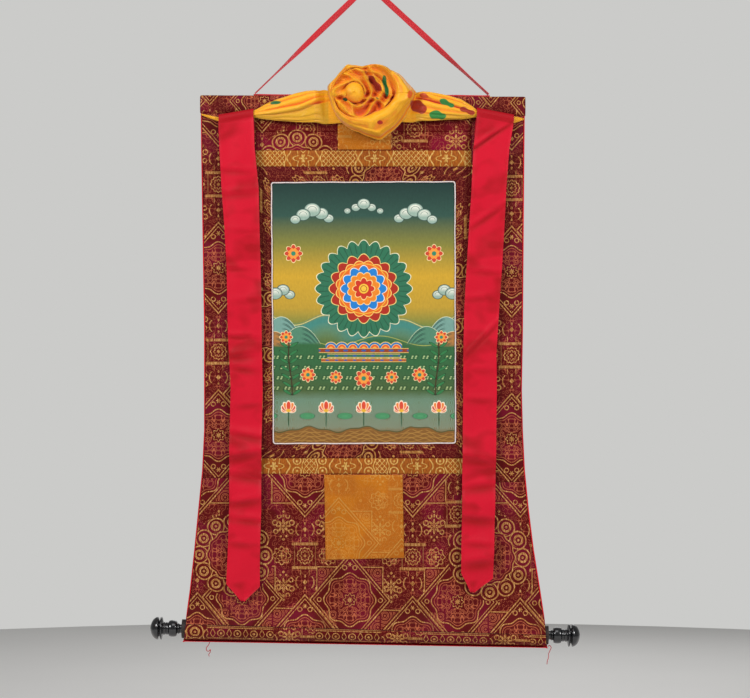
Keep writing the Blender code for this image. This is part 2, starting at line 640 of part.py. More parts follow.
def roller_and_knobs():
    """Wooden roller in the hem, and a turned knob fitted on each end."""
    rings = np.array([along_axis(x, ROLLER_RADIUS, ROLLER_SIDES) for x in ROLLER_ENDS])
    tube("roller", rings, "wood")
    for node, end, heading in (("knob_left", ROLLER_ENDS[0], -1), ("knob_right", ROLLER_ENDS[1], 1)):
        rings = [along_axis(end + heading * (GAP + out), radius, KNOB_SIDES) for out, radius in each(KNOB)]
        rings = np.array(rings)
        tube(node, rings, "lacquer", sharp=50.0)


def ribbon(node, top, rows):
    """A satin ribbon folded over the cover's arm: a short tail behind, a loop, and a long pointed fall."""
    u = np.linspace(0, 1, RIBBON_PLY + 1)
    top_x = share(u, (top[0][0], top[1][0]))
    top_down = share(u, (top[0][1], top[1][1]))
    outer, inner = [], []

    def add(across, y, down, normal_y, normal_down):
        middle = np.stack([across, y, down], axis=-1)
        offset = np.stack([np.zeros_like(across), np.full_like(across, normal_y),
                           np.full_like(across, normal_down)], axis=-1) * (SATIN / 2)
        outer.append(middle + offset)
        inner.append(middle - offset)

    tail_y = -(LOOP_MIDDLE - LOOP_HALF_DEPTH)
    for t in (1.0, 0.5):
        lower = top_down + LOOP_HALF_HEIGHT + (TAIL_LENGTH - LOOP_HALF_HEIGHT) * t
        add(top_x, np.full_like(u, tail_y), lower, 1.0, 0.0)
    for angle in np.radians(np.linspace(0, 180, LOOP_STEPS)):
        y = -LOOP_MIDDLE + LOOP_HALF_DEPTH * math.cos(angle)
        add(top_x, np.full_like(u, y), top_down + LOOP_HALF_HEIGHT * (1 - math.sin(angle)),
            math.cos(angle), -math.sin(angle))
    previous = None
    for left, left_down, right, right_down, stand in each(rows):
        across = share(u, (left, right))
        down = share(u, (left_down, right_down))
        crown = RIBBON_CROWN * np.sin(math.pi * u) * (1 if previous is None or stand > previous else -1)
        previous = stand
        add(across, -(stand - SATIN / 2 + crown), down, -1.0, 0.0)
    slab(node, np.array(outer), np.array(inner), "satin")


def cover_arm(node, sections):
    """One drawn-up arm of the silk cover: pleats run along it, and its thin end comes past the ribbon."""
    angles = np.linspace(0, 2 * math.pi, ARM_SIDES, endpoint=False)
    rings = np.empty((len(sections["across"]), ARM_SIDES, 3))
    for index, (across, top, bottom, depth) in enumerate(each(sections)):
        pleat = PLEAT_SHARE * np.clip((depth - PLEAT_START) / PLEAT_GROWTH, 0.0, 1.0)
        front = 0.5 - 0.5 * np.cos(angles)
        radius = 1.0 - pleat * front * (0.5 - 0.5 * np.cos(2 * ARM_PLEATS * (angles + across / PLEAT_LEAN)))
        rings[index, :, 0] = across
        rings[index, :, 1] = -ARM_BACK - depth / 2 + depth / 2 * np.cos(angles) * radius
        rings[index, :, 2] = (top + bottom) / 2 - (bottom - top) / 2 * np.sin(angles) * radius
    tube(node, rings, "silk")


def cover_rosette():
    """The cover's knotted bunch: a rolled collar round a gathered, ruffled heart with one round bud."""
    angles = np.linspace(0, 360, ROSETTE_SIDES, endpoint=False)
    outline = np.interp(angles, ROSETTE["angle"], ROSETTE["outline"], period=360.0)
    rim = np.interp(angles, ROSETTE["angle"], ROSETTE["rim"], period=360.0)
    cosine, sine = np.cos(np.radians(angles)), np.sin(np.radians(angles))
    rings = []

    def ring(radius, height):
        across = ROSETTE_EYE[0] + radius * cosine
        down = ROSETTE_EYE[1] - radius * sine
        rings.append(np.stack([across, -ROSETTE_BACK - height + 0 * across, down], axis=-1))

    ring(outline / 2, 0.0)
    ring(outline - ROSETTE_ROUNDING, 0.0)
    band = np.clip((outline - rim) / COLLAR_WIDE, 0.35, 1.1)
    for inward, height in each(COLLAR):
        fold = COLLAR_FOLD * np.sin(np.radians(angles * COLLAR_FOLDS)) * math.sin(math.pi * inward)
        ring(outline + (rim - outline) * inward, height * (0.72 + 0.28 * band) + fold)
    for part, height in each(HEART):
        radius = rim * part
        ruffle = RUFFLE_HEIGHT * part * np.cos(np.radians(angles * RUFFLES + RUFFLE_DRIFT * part))
        across = ROSETTE_EYE[0] + radius * cosine
        down = ROSETTE_EYE[1] - radius * sine
        away = np.hypot(across - BUD[0], down - BUD[1]) / BUD_RADIUS
        bud = BUD_HEIGHT * np.exp(-away ** 2)
        ring(radius, height + ruffle * (1 - np.exp(-away ** 2)) + bud)
    tube("cover_rosette", np.array(rings), "silk", sharp=75.0)


def hanging_cord():
    """Flat cord from one anchor up over the hanging point and down to the other, turning as it goes."""
    centre = np.array([0.0, NAIL_BEND])
    ends = [np.array(end) for end in CORD_ENDS]

    def touch(end, side):
        """Where a straight strand from the end meets the bend."""
        away = end - centre
        distance = np.linalg.norm(away)
        turn = math.acos(NAIL_BEND / distance)
        base = math.atan2(away[1], away[0])
        angle = base + side * turn
        return centre + NAIL_BEND * np.array([math.cos(angle), math.sin(angle)])

    left, right = touch(ends[0], 1), touch(ends[1], -1)
    low, high = [math.atan2(*(p - centre)[::-1]) % (2 * math.pi) for p in (left, right)]
    path = [ends[0] + (left - ends[0]) * t for t in np.linspace(0, 1, STRAND_STEPS)]
    path += [centre + NAIL_BEND * np.array([math.cos(a), math.sin(a)])
             for a in np.linspace(low, high, BEND_STEPS + 1)[1:-1]]
    path += [right + (ends[1] - right) * t for t in np.linspace(0, 1, STRAND_STEPS)]
    path = np.array(path)
    along = np.gradient(path, axis=0)
    along /= np.linalg.norm(along, axis=1)[:, None]
    length = np.concatenate([[0.0], np.cumsum(np.linalg.norm(np.diff(path, axis=0), axis=1))])
    turn = np.radians(np.interp(length / length[-1], TWIST["share"], TWIST["turn"]))
    across_path = np.stack([along[:, 1], np.zeros(len(path)), -along[:, 0]], axis=1)
    depthwise = np.array([0.0, 1.0, 0.0])
    wide = np.cos(turn)[:, None] * depthwise + np.sin(turn)[:, None] * across_path
    thin = -np.sin(turn)[:, None] * depthwise + np.cos(turn)[:, None] * across_path
    lean = SLEEVE_MIDDLE * path[:, 1] / CORD_ENDS[0][1]
    middle = np.stack([path[:, 0], lean, path[:, 1]], axis=1)
    rings = np.stack([middle + wide * TAPE_WIDTH * w + thin * TAPE_THICK * t for w, t in TAPE_SECTION], axis=1)
    tube("hanging_cord", rings, "cord")


def round_cord(node, route, radius, steps):
    """A round cord on a smooth curve through its route, as a bevelled curve with closed ends."""
    route = np.asarray(route, dtype=float)
    length = np.concatenate([[0.0], np.cumsum(np.linalg.norm(np.diff(route, axis=0), axis=1))])
    places = np.linspace(0, length[-1], steps)
    slope = np.gradient(route, length, axis=0)
    index = np.clip(np.searchsorted(length, places, side="right") - 1, 0, len(route) - 2)
    span = (length[index + 1] - length[index])[:, None]
    t = ((places - length[index]) / span[:, 0])[:, None]
    points = ((2 * t ** 3 - 3 * t ** 2 + 1) * route[index] + (t ** 3 - 2 * t ** 2 + t) * span * slope[index]
              + (3 * t ** 2 - 2 * t ** 3) * route[index + 1] + (t ** 3 - t ** 2) * span * slope[index + 1])
    curve = bpy.data.curves.new(node, "CURVE")
    curve.dimensions = "3D"
    curve.bevel_depth = radius * MM
    curve.bevel_resolution = CORD_RESOLUTION
    curve.use_fill_caps = True
    spline = curve.splines.new("POLY")
    spline.points.add(steps - 1)
    for point, (across, down, depth) in zip(spline.points, points):
        point.co = (across * MM, depth * MM, -down * MM, 1.0)
    curve.materials.append(finish(node, "cord"))
    obj = bpy.data.objects.new(node, curve)
    bpy.context.scene.collection.objects.link(obj)


def main():
    clear_scene()
    top_sleeve()
    centre_column()
    piping()
    side_strip("side_left", edge_left, COLUMN_LEFT, SIDE_SEAM[0], True)
    side_strip("side_right", edge_right, COLUMN_RIGHT, SIDE_SEAM[1], False)
    bottom_panel()
    flat_sheet("gold_patch_top", PATCH_TOP, PATCH, "gold", raised=PATCH + PATCH_GAP)
    flat_sheet("gold_patch_bottom", PATCH_BOTTOM, PATCH, "gold", raised=PATCH + PATCH_GAP)
    lining()
    roller_and_knobs()
    for node, sizes in RIBBONS.items():
        ribbon(node, sizes["top"], sizes["rows"])
    for node, sections in ARMS.items():
        cover_arm(node, sections)
    cover_rosette()
    hanging_cord()
    edge = [(x, across_line(x, SLEEVE_TOP) - EDGE_CORD_RADIUS - GAP, SLEEVE_MIDDLE)
            for x in np.linspace(*EDGE_CORD, EDGE_CORD_STEPS)]
    round_cord("cord_along_top", edge, EDGE_CORD_RADIUS, EDGE_CORD_STEPS)
    for node, route in THREADS.items():
        round_cord(node, list(each(route)), THREAD_RADIUS, THREAD_STEPS)


main()
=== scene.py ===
"""Looks of the thangka scroll painting: cloth, cords, cover, knobs, light and camera.

Every piece is a surface worked out with numpy on a grid of two parameters. Points are written in
millimetres as (across, depth, down): across is X, depth is Y with negative values towards the viewer,
and down is the distance below the top of the hanging cord.
"""
import functools
import math

import bmesh
import bpy
import numpy as np
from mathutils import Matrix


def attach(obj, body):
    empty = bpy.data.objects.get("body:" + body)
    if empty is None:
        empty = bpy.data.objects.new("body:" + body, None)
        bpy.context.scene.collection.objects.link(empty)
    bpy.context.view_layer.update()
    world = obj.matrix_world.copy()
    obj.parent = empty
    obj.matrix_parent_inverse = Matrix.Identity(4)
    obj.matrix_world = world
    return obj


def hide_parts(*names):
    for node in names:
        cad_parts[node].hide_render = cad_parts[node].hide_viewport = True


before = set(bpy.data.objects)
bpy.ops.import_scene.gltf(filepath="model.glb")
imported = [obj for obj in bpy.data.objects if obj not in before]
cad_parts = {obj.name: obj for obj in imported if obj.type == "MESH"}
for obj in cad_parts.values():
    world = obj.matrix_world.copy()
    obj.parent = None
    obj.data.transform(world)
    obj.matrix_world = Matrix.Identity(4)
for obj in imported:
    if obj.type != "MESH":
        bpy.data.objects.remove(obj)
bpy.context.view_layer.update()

MM = 0.001
BODY = "root"


def table(columns, rows):
    """A table whose columns are read by name."""
    return {name: np.array([row[i] for row in rows], dtype=float) for i, name in enumerate(columns)}


# Camera
VIEW_HEIGHT = 1.1517
VIEW_AIM = (0.01056, -0.5975)
CAMERA_AWAY = 4.0
SENSOR_HEIGHT = 24.0

# Floor and light
FLOOR_Z = -1.42
FLOOR_RADIUS = 3.3
FLOOR_CORNERS = 96
LIGHTS = table(("x", "y", "z", "size", "power"), [
    (-2.0, -2.1, 0.75, 0.8, 56.0),
    (2.0, -2.1, 0.55, 0.8, 44.0),
    (0.0, -1.5, 1.9, 1.6, 19.0),
    (0.4, 2.6, 0.4, 2.0, 14.0),
])
ROOM_SEEN = "#cbcbc9"
ROOM_LIGHT = 0.24
LIGHT_AIM = (0.0, 0.0, -0.6)

# Cut outline of the whole hanging, left and right edge at each height
OUTLINE = table(("down", "left", "right"), [
    (179.0, -277.4, 258.1), (269.0, -276.5, 257.2), (368.0, -274.9, 256.4), (566.0, -271.6, 254.8),
    (665.0, -271.6, 253.1), (731.0, -271.6, 254.8), (797.0, -274.9, 258.1), (863.0, -281.5, 264.7),
    (929.0, -288.1, 272.9), (995.0, -295.5, 283.5), (1061.0, -304.6, 293.4), (1092.0, -307.5, 295.6),
])
SLEEVE_TOP = (179.2, 181.7)
SLEEVE_SEAM = (208.1, 213.0)
STRIP_FOLD = 238.8
GOLD_TOP = 269.8
FRAME_TOP = 296.5
FRAME_BOTTOM = 777.8
PANEL_SEAM = 803.4
SIDE_SEAM = (810.3, 816.9)
COLUMN_LEFT = -186.6
COLUMN_RIGHT = 169.8
OPENING = ((-160.7, 322.6), (142.9, 321.1), (143.7, 753.2), (-157.1, 753.9))
PATCH_TOP = ((-51.1, 214.5), (37.0, 214.5), (37.0, 268.6), (-51.1, 268.6))
PATCH_BOTTOM = ((-73.4, 804.6), (56.1, 804.6), (58.9, 942.3), (-71.1, 945.6))
HALF_GAP = 0.15
BROCADE = 2.0
CANVAS = 1.4
CANVAS_SUNK = 0.3
PATCH = 1.0
PATCH_GAP = 0.4
LINING = 1.2
LINING_GAP = 0.5
LINING_PROUD = 0.2
LINING_EDGE = 2.2
SATIN = 1.1
HEM_EDGE = 1092.0

# How the cloth hangs, the same as in the frame
WAVE = 2.6
WAVE_PITCH = 245.0
WAVE_MIDDLE = 0.2
WAVE_START = 0.9
WAVE_DRIFT = 1.4
HALF_WIDTH = 280.0
BOW = 2.0
PUCKER_PITCH = 11.0
PUCKER_REACH = 9.0

# Stave sleeve and roller
SLEEVE_HALF_DEPTH = 5.0
SLEEVE_MIDDLE = 5.2
AXIS_LEFT = (-331.0, 1059.5)
AXIS_RIGHT = (325.7, 1071.0)
AXIS_DEPTH = 9.0
HEM_OUTER = 18.0
HEM_EASE = 46.0
HEM_TURN = 65.0
LINING_OUTER = 17.2
LINING_TURN = 108.0
LIP_TURN = 88.0
LIP_OUTER = 21.3
FLARE_START = 863.0
ROLLER_ENDS = (-308.5, 297.0)
KNOB = table(("out", "radius"), [
    (0.0, 7.4), (3.6, 7.4), (4.6, 8.8), (6.2, 8.8), (7.0, 7.6), (8.0, 11.6), (9.6, 13.2),
    (15.0, 13.8), (20.4, 13.0), (21.4, 11.4), (22.2, 9.6), (24.4, 10.8), (26.6, 9.4),
    (28.0, 10.8), (30.2, 10.2), (31.2, 12.8), (32.4, 18.2), (33.4, 18.8), (35.2, 18.6),
    (36.2, 13.4), (37.6, 13.4), (38.4, 18.2), (40.0, 18.8), (44.0, 17.4), (48.0, 13.6),
    (50.6, 8.4), (51.8, 3.0),
])


def share(value, ends):
    """Linear mix between the two ends."""
    return ends[0] + (ends[1] - ends[0]) * value


def smooth_step(value):
    """From 0 to 1 with level ends."""
    value = np.clip(value, 0.0, 1.0)
    return value * value * (3.0 - 2.0 * value)


def bump(value, width):
    """A soft hill of height 1 at zero."""
    return np.exp(-(value / width) ** 2)


def across_line(across, ends):
    """Height of a slanted seam that has the two given heights at the cloth's edges."""
    left, right = OUTLINE["left"][0], OUTLINE["right"][0]
    return share((across - left) / (right - left), ends)


def edge_left(down):
    """The outline's left edge at a height."""
    return np.interp(down, OUTLINE["down"], OUTLINE["left"])


def edge_right(down):
    """The outline's right edge at a height."""
    return np.interp(down, OUTLINE["down"], OUTLINE["right"])


def axis_down(across):
    """Height of the roller's axis, which hangs a little lower at the right."""
    return share((across - AXIS_LEFT[0]) / (AXIS_RIGHT[0] - AXIS_LEFT[0]), (AXIS_LEFT[1], AXIS_RIGHT[1]))


def face_depth(across, down):
    """Y of the cloth's face: upright waves that grow towards the hem and the sides, and a slack bow."""
    fall = np.clip((down - SLEEVE_SEAM[0]) / (AXIS_LEFT[1] - SLEEVE_SEAM[0]), 0.0, 1.0)
    side = (across / HALF_WIDTH) ** 2
    phase = 2 * math.pi * across / WAVE_PITCH + WAVE_START + WAVE_DRIFT * fall
    wave = WAVE * fall * (WAVE_MIDDLE + side) * np.sin(phase)
    return wave - BOW * np.sin(math.pi * fall) ** 2


def slack(across, down, size=1.0):
    """Small unevenness of stiff brocade: five crossing sine waves of different lengths."""
    swell = 0.34 * np.sin(across / 21.0 + down / 57.0) + 0.26 * np.sin(down / 33.0 - across / 71.0 + 1.7)
    ripple = 0.16 * np.sin(across / 9.5 - down / 19.0 + 0.6) + 0.12 * np.sin(down / 8.3 + across / 27.0 + 2.1)
    return size * (swell + ripple + 0.07 * np.sin(across / 4.7 + down / 6.1))


def pucker(edge, along, size):
    """Gathers beside a seam: short waves along it that die out with the distance from it, and a dip on it."""
    wave = np.sin(2 * math.pi * along / PUCKER_PITCH + 1.3 * np.sin(along / 37.0))
    return size * wave * bump(edge, PUCKER_REACH) + 0.75 * bump(edge, 1.1)


def through(marks, values, places):
    """Values at the places on a smooth curve through the marks, with slopes from the neighbours."""
    marks = np.asarray(marks, dtype=float)
    values = np.asarray(values, dtype=float)
    slope = np.gradient(values, marks, axis=0)
    index = np.clip(np.searchsorted(marks, places, side="right") - 1, 0, len(marks) - 2)
    span = marks[index + 1] - marks[index]
    t = (places - marks[index]) / span
    if values.ndim > 1:
        span = span[:, None]
        t = t[:, None]
    return ((2 * t ** 3 - 3 * t ** 2 + 1) * values[index] + (t ** 3 - 2 * t ** 2 + t) * span * slope[index]
            + (3 * t ** 2 - 2 * t ** 3) * values[index + 1] + (t ** 3 - t ** 2) * span * slope[index + 1])


def run_length(points):
    """Distance along a row of points, from the first one."""
    steps = np.linalg.norm(np.diff(points, axis=0), axis=-1)
    return np.concatenate([[0.0], np.cumsum(steps)])


def unit(vectors):
    """The vectors with their lengths made 1."""
    return vectors / np.linalg.norm(vectors, axis=-1, keepdims=True)


def full_turn(count):
    """Angles at equal steps once round."""
    return np.linspace(0, 2 * math.pi, count, endpoint=False)


def between_corners(corners, u, v):
    """Grid inside four corners: u runs from the first to the second, v from the first to the last."""
    return (corners[0] * (1 - u) + corners[1] * u) * (1 - v) + (corners[3] * (1 - u) + corners[2] * u) * v


def to_metres(points):
    """Points as (across, depth, down) in millimetres, turned into X, Y and Z in metres."""
    return np.asarray(points, dtype=float) * (MM, MM, -MM)


# Meshes

def grid_faces(rows, columns, wrap=False):
    """Corners of the faces between neighbouring rows and columns of a grid."""
    row = np.arange(rows - 1)[:, None]
    column = np.arange(columns if wrap else columns - 1)[None, :]
    after = (column + 1) % columns
    near, far = row * columns, (row + 1) * columns
    return np.stack([near + column, near + after, far + after, far + column], axis=-1).reshape(-1, 4)


def new_object(name, data):
    """An object in the scene."""
    obj = bpy.data.objects.new(name, data)
    bpy.context.scene.collection.objects.link(obj)
    return obj


def add_mesh(name, points, faces, material, node=None, slot=None, cloth=None, shade=None):
    """Makes a mesh piece that rides on the body, stands for a node and keeps its cloth coordinates."""
    mesh = bpy.data.meshes.new(name)
    mesh.from_pydata(to_metres(points.reshape(-1, 3)).tolist(), [], faces)
    if cloth is not None:
        layer = mesh.attributes.new("cloth", "FLOAT_VECTOR", "POINT")
        layer.data.foreach_set("vector", np.asarray(cloth, dtype=np.float32).reshape(-1))
    if shade is not None:
        layer = mesh.attributes.new("shade", "FLOAT", "POINT")
        layer.data.foreach_set("value", np.asarray(shade, dtype=np.float32).reshape(-1))
    mesh.shade_smooth()
    mesh.materials.append(material)
    obj = new_object(name, mesh)
    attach(obj, BODY)
    if node:
        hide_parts(*([node] if isinstance(node, str) else node))
    return obj


def cloth_pair(first, second, layer=0.0):
    """Cloth coordinates in millimetres from two arrays, with a third value that tells layers apart."""
    first, second = np.broadcast_arrays(first, second)
    return np.stack([first, second, np.full(first.shape, layer)], axis=-1)


def add_sheet(name, points, material, thick, towards=(0.0, -1.0, 0.0), **facts):
    """A sheet through a grid of points on its outer face, given its thickness on the inner side."""
    faces = grid_faces(*points.shape[:2])
    flat = points.reshape(-1, 3) * (1.0, 1.0, -1.0)
    corners = flat[faces]
    normal = np.cross(corners[:, 2] - corners[:, 0], corners[:, 3] - corners[:, 1]).sum(axis=0)
    if normal @ np.array(towards) < 0:
        faces = faces[:, ::-1]
    obj = add_mesh(name, points, faces.tolist(), material, **facts)
    shell = obj.modifiers.new("thickness", "SOLIDIFY")
    shell.thickness = thick * MM
    shell.offset = -1.0
    shell.use_even_offset = False
    return obj


def add_tube(name, rings, material, closed=False, **facts):
    """A closed form through rings of points: a hoop if closed, otherwise with a flat cap at each end."""
    count, sides = rings.shape[:2]
    faces = grid_faces(count, sides, wrap=True).tolist()
    if closed:
        last = (count - 1) * sides
        faces += [[last + s, last + (s + 1) % sides, (s + 1) % sides, s] for s in range(sides)]
    else:
        faces += [list(range(sides)), list(range((count - 1) * sides, count * sides))]
    obj = add_mesh(name, rings, faces, material, **facts)
    shell = bmesh.new()
    shell.from_mesh(obj.data)
    bmesh.ops.recalc_face_normals(shell, faces=shell.faces)
    shell.to_mesh(obj.data)
    shell.free()
    obj.data.set_sharp_from_angle(angle=math.radians(50.0))
    return obj


def flat_area(points):
    """Area in square metres of the sheet through a grid of points."""
    across = points[:-1, 1:] - points[:-1, :-1]
    along = points[1:, :-1] - points[:-1, :-1]
    return float(np.linalg.norm(np.cross(across, along), axis=-1).sum()) * MM * MM


def fine_steps(length, step, rolled=(0.5, 1.4)):
    """Shares from 0 to 1 about a step apart, with a few close to each end where the edge is rolled."""
    inner = np.linspace(0.0, 1.0, max(3, int(round(length / step)) + 1))
    near = np.array(rolled) / length
    inner = inner[(inner > near[-1] * 1.3) & (inner < 1 - near[-1] * 1.3)]
    return np.concatenate([[0.0], near, inner, 1 - near[::-1], [1.0]])


# Shaders: numbers worked out on the surface

class Amount:
    """A number that a shader works out. Arithmetic on amounts lays down Math nodes in their tree."""

    def __init__(self, tree, socket):
        self.tree = tree
        self.socket = socket

    def run(self, operation, *others, clamp=False):
        """The amount that a Math node gives for this one and the others."""
        node = self.tree.nodes.new("ShaderNodeMath")
        node.operation = operation
        node.use_clamp = clamp
        for slot, value in zip(node.inputs, (self, *others)):
            if isinstance(value, Amount):
                self.tree.links.new(value.socket, slot)
            else:
                slot.default_value = value
        return Amount(self.tree, node.outputs[0])

    def __add__(self, other):
        return self.run("ADD", other)

    def __sub__(self, other):
        return self.run("SUBTRACT", other)

    def __mul__(self, other):
        return self.run("MULTIPLY", other)

    def __truediv__(self, other):
        return self.run("DIVIDE", other)

    def __rsub__(self, other):
        return self.run("MULTIPLY_ADD", -1.0, other)

    def __neg__(self):
        return self.run("MULTIPLY", -1.0)

    def __abs__(self):
        return self.run("ABSOLUTE")

    __radd__ = __add__
    __rmul__ = __mul__


def sine(value):
    """Sine of an amount in radians."""
    return value.run("SINE")


def cosine(value):
    """Cosine of an amount in radians."""
    return value.run("COSINE")


def fold(value, period):
    """Distance to the nearest multiple of the period."""
    return value.run("PINGPONG", period / 2)


def larger(first, second):
    """The larger of two values, or the union of two masks."""
    return first.run("MAXIMUM", second)


def joined(*masks):
    """The union of several masks."""
    return functools.reduce(larger, masks)


def reach(first, second):
    """Distance from the origin."""
    return (first * first).run("ADD", second * second).run("SQRT")


def turn_of(first, second):
    """Angle about the origin."""
    return second.run("ARCTAN2", first)


def inside(distance, soft=0.5):
    """1 where the distance is negative, 0 where it is positive, with a soft edge."""
    return distance.run("MULTIPLY_ADD", -1.0 / soft, 0.5, clamp=True)


def band(distance, half, soft=0.5):
    """1 on a line of the given half width, where the distance to its middle is near zero."""
    return abs(distance).run("MULTIPLY_ADD", -1.0 / soft, half / soft + 0.5, clamp=True)


def vector_parts(tree, socket):
    """The three numbers of a vector."""
    node = tree.nodes.new("ShaderNodeSeparateXYZ")
    tree.links.new(socket, node.inputs[0])
    return [Amount(tree, output) for output in node.outputs]


def colour(code):
    """Linear colour from its usual six-figure code."""
    parts = [int(code[i:i + 2], 16) / 255 for i in (1, 3, 5)]
    return tuple(p / 12.92 if p <= 0.04045 else ((p + 0.055) / 1.055) ** 2.4 for p in parts) + (1.0,)


def mixed(tree, factor, first, second, blend="MIX"):
    """Colour between two colours, each a code or a socket."""
    node = tree.nodes.new("ShaderNodeMix")
    node.data_type = "RGBA"
    node.blend_type = blend
    for slot, value in ((node.inputs[0], factor), (node.inputs[6], first), (node.inputs[7], second)):
        if isinstance(value, Amount):
            tree.links.new(value.socket, slot)
        elif isinstance(value, str):
            slot.default_value = colour(value)
        elif isinstance(value, float):
            slot.default_value = value
        else:
            tree.links.new(value, slot)
    return node.outputs[2]


def grey_of(tree, value):
    """A grey colour of the given value."""
    node = tree.nodes.new("ShaderNodeCombineColor")
    for slot in node.inputs:
        tree.links.new(value.socket, slot)
    return node.outputs[0]


def noise(tree, vector, scale, detail=2.0, rough=0.5):
    """Soft random value about one half."""
    node = tree.nodes.new("ShaderNodeTexNoise")
    node.inputs["Scale"].default_value = scale
    node.inputs["Detail"].default_value = detail
    node.inputs["Roughness"].default_value = rough
    tree.links.new(vector, node.inputs["Vector"])
    return Amount(tree, node.outputs[0])


def moved(tree, vector, place=(0.0, 0.0, 0.0), scale=(1.0, 1.0, 1.0), turn=0.0):
    """The vector after a Mapping node that scales, turns about the third axis and shifts it."""
    node = tree.nodes.new("ShaderNodeMapping")
    node.inputs["Location"].default_value = place
    node.inputs["Scale"].default_value = scale
    node.inputs["Rotation"].default_value = (0.0, 0.0, turn)
    tree.links.new(vector, node.inputs["Vector"])
    return node.outputs[0]


def start_group(name, inputs, outputs):
    """A shader node group with named sockets: its tree, its inputs by name, and its output node. An input
    given without a value is a vector. All others, and all outputs, are numbers."""
    tree = bpy.data.node_groups.new(name, "ShaderNodeTree")
    for label, value in inputs.items():
        kind = "NodeSocketVector" if value is None else "NodeSocketFloat"
        socket = tree.interface.new_socket(label, in_out="INPUT", socket_type=kind)
        if value is not None:
            socket.default_value = value
    for label in outputs:
        tree.interface.new_socket(label, in_out="OUTPUT", socket_type="NodeSocketFloat")
    given = tree.nodes.new("NodeGroupInput")
    result = tree.nodes.new("NodeGroupOutput")
    return tree, {socket.name: socket for socket in given.outputs if socket.name}, result


def place_group(tree, group, **values):
    """Puts a group in a tree, with its inputs set or linked by name, and gives its outputs by name."""
    node = tree.nodes.new("ShaderNodeGroup")
    node.node_tree = group
    for label, value in values.items():
        slot = node.inputs[label.replace("_", " ")]
        if isinstance(value, Amount):
            tree.links.new(value.socket, slot)
        elif isinstance(value, (int, float)):
            slot.default_value = value
        else:
            tree.links.new(value, slot)
    return {output.name: Amount(tree, output) for output in node.outputs}


def finish_group(tree, result, **values):
    """Links the values to the group's outputs by name, and gives the group."""
    for label, value in values.items():
        tree.links.new(value.socket, result.inputs[label])
    return tree


# The brocade's figure, in millimetres of its cloth
REPEAT = 276.0
COLUMN_PITCH = 177.7
DIAMOND = (66.0, 75.0)
DIAMOND_STEEP = 49.5
STAR = (54.5, 52.6)
SECOND_ACROSS = 74.0
SECOND_COLUMN = 208.0
ROUND_PITCH = 425.0
ROUND_RADIUS = 68.0
LOBES_OUT = 53.0
VINE_STRENGTH = 0.78


def spray(x, y):
    """A small lotus: a fan of petals between two curled leaves, with buds above and below."""
    side = abs(x)
    out, turn = reach(x, y), turn_of(x, y)
    return joined(
        inside(out - 8.6 - cosine(turn * 8.0) * 3.4) * inside(4.2 - out - cosine(turn * 8.0 + 3.14) * 1.6),
        inside(out - 2.0),
        band(reach(side - 13.8, y - 5.5) - 3.9, 0.85),
        band(reach(side - 12.6, y + 8.8) - 3.3, 0.85),
        band(reach(side - 7.0, y - 16.0) - 3.2, 0.8) * inside(y - 17.5),
        inside(reach(side * 1.5, y - 17.0) - 2.6),
        inside(side + abs(y - 23.5) - 2.4),
        inside(reach(side - 4.6, y + 16.6) - 1.8),
        inside(side + abs(y + 21.5) - 2.6))


def curls(x, y, out):
    """Fine curling lace, the contour lines of crossing waves and one ring wave."""
    crossing = cosine(x * 0.43) * cosine(y * 0.43) * 1.6
    waves = crossing + cosine(out * 0.40 + 0.6) + cosine((x - y) * 0.26) * 0.4
    return larger(band(waves - 0.42, 0.30, 0.25), band(waves + 0.85, 0.26, 0.25))


def vines(x, y):
    """Thin leafy scrolls that fill the bare ground, the contour lines of crossing waves."""
    crossing = cosine(x * 0.37) * cosine(y * 0.37) * 1.5
    waves = crossing + cosine((x + y) * 0.23 + 0.8) + cosine((x - y * 0.6) * 0.31) * 0.7
    leaves = inside(0.92 - abs(waves), 0.2) * band(cosine(x * 0.9) + cosine(y * 0.9) - 0.9, 0.28, 0.2)
    return larger(band(waves - 0.35, 0.17, 0.15), leaves)


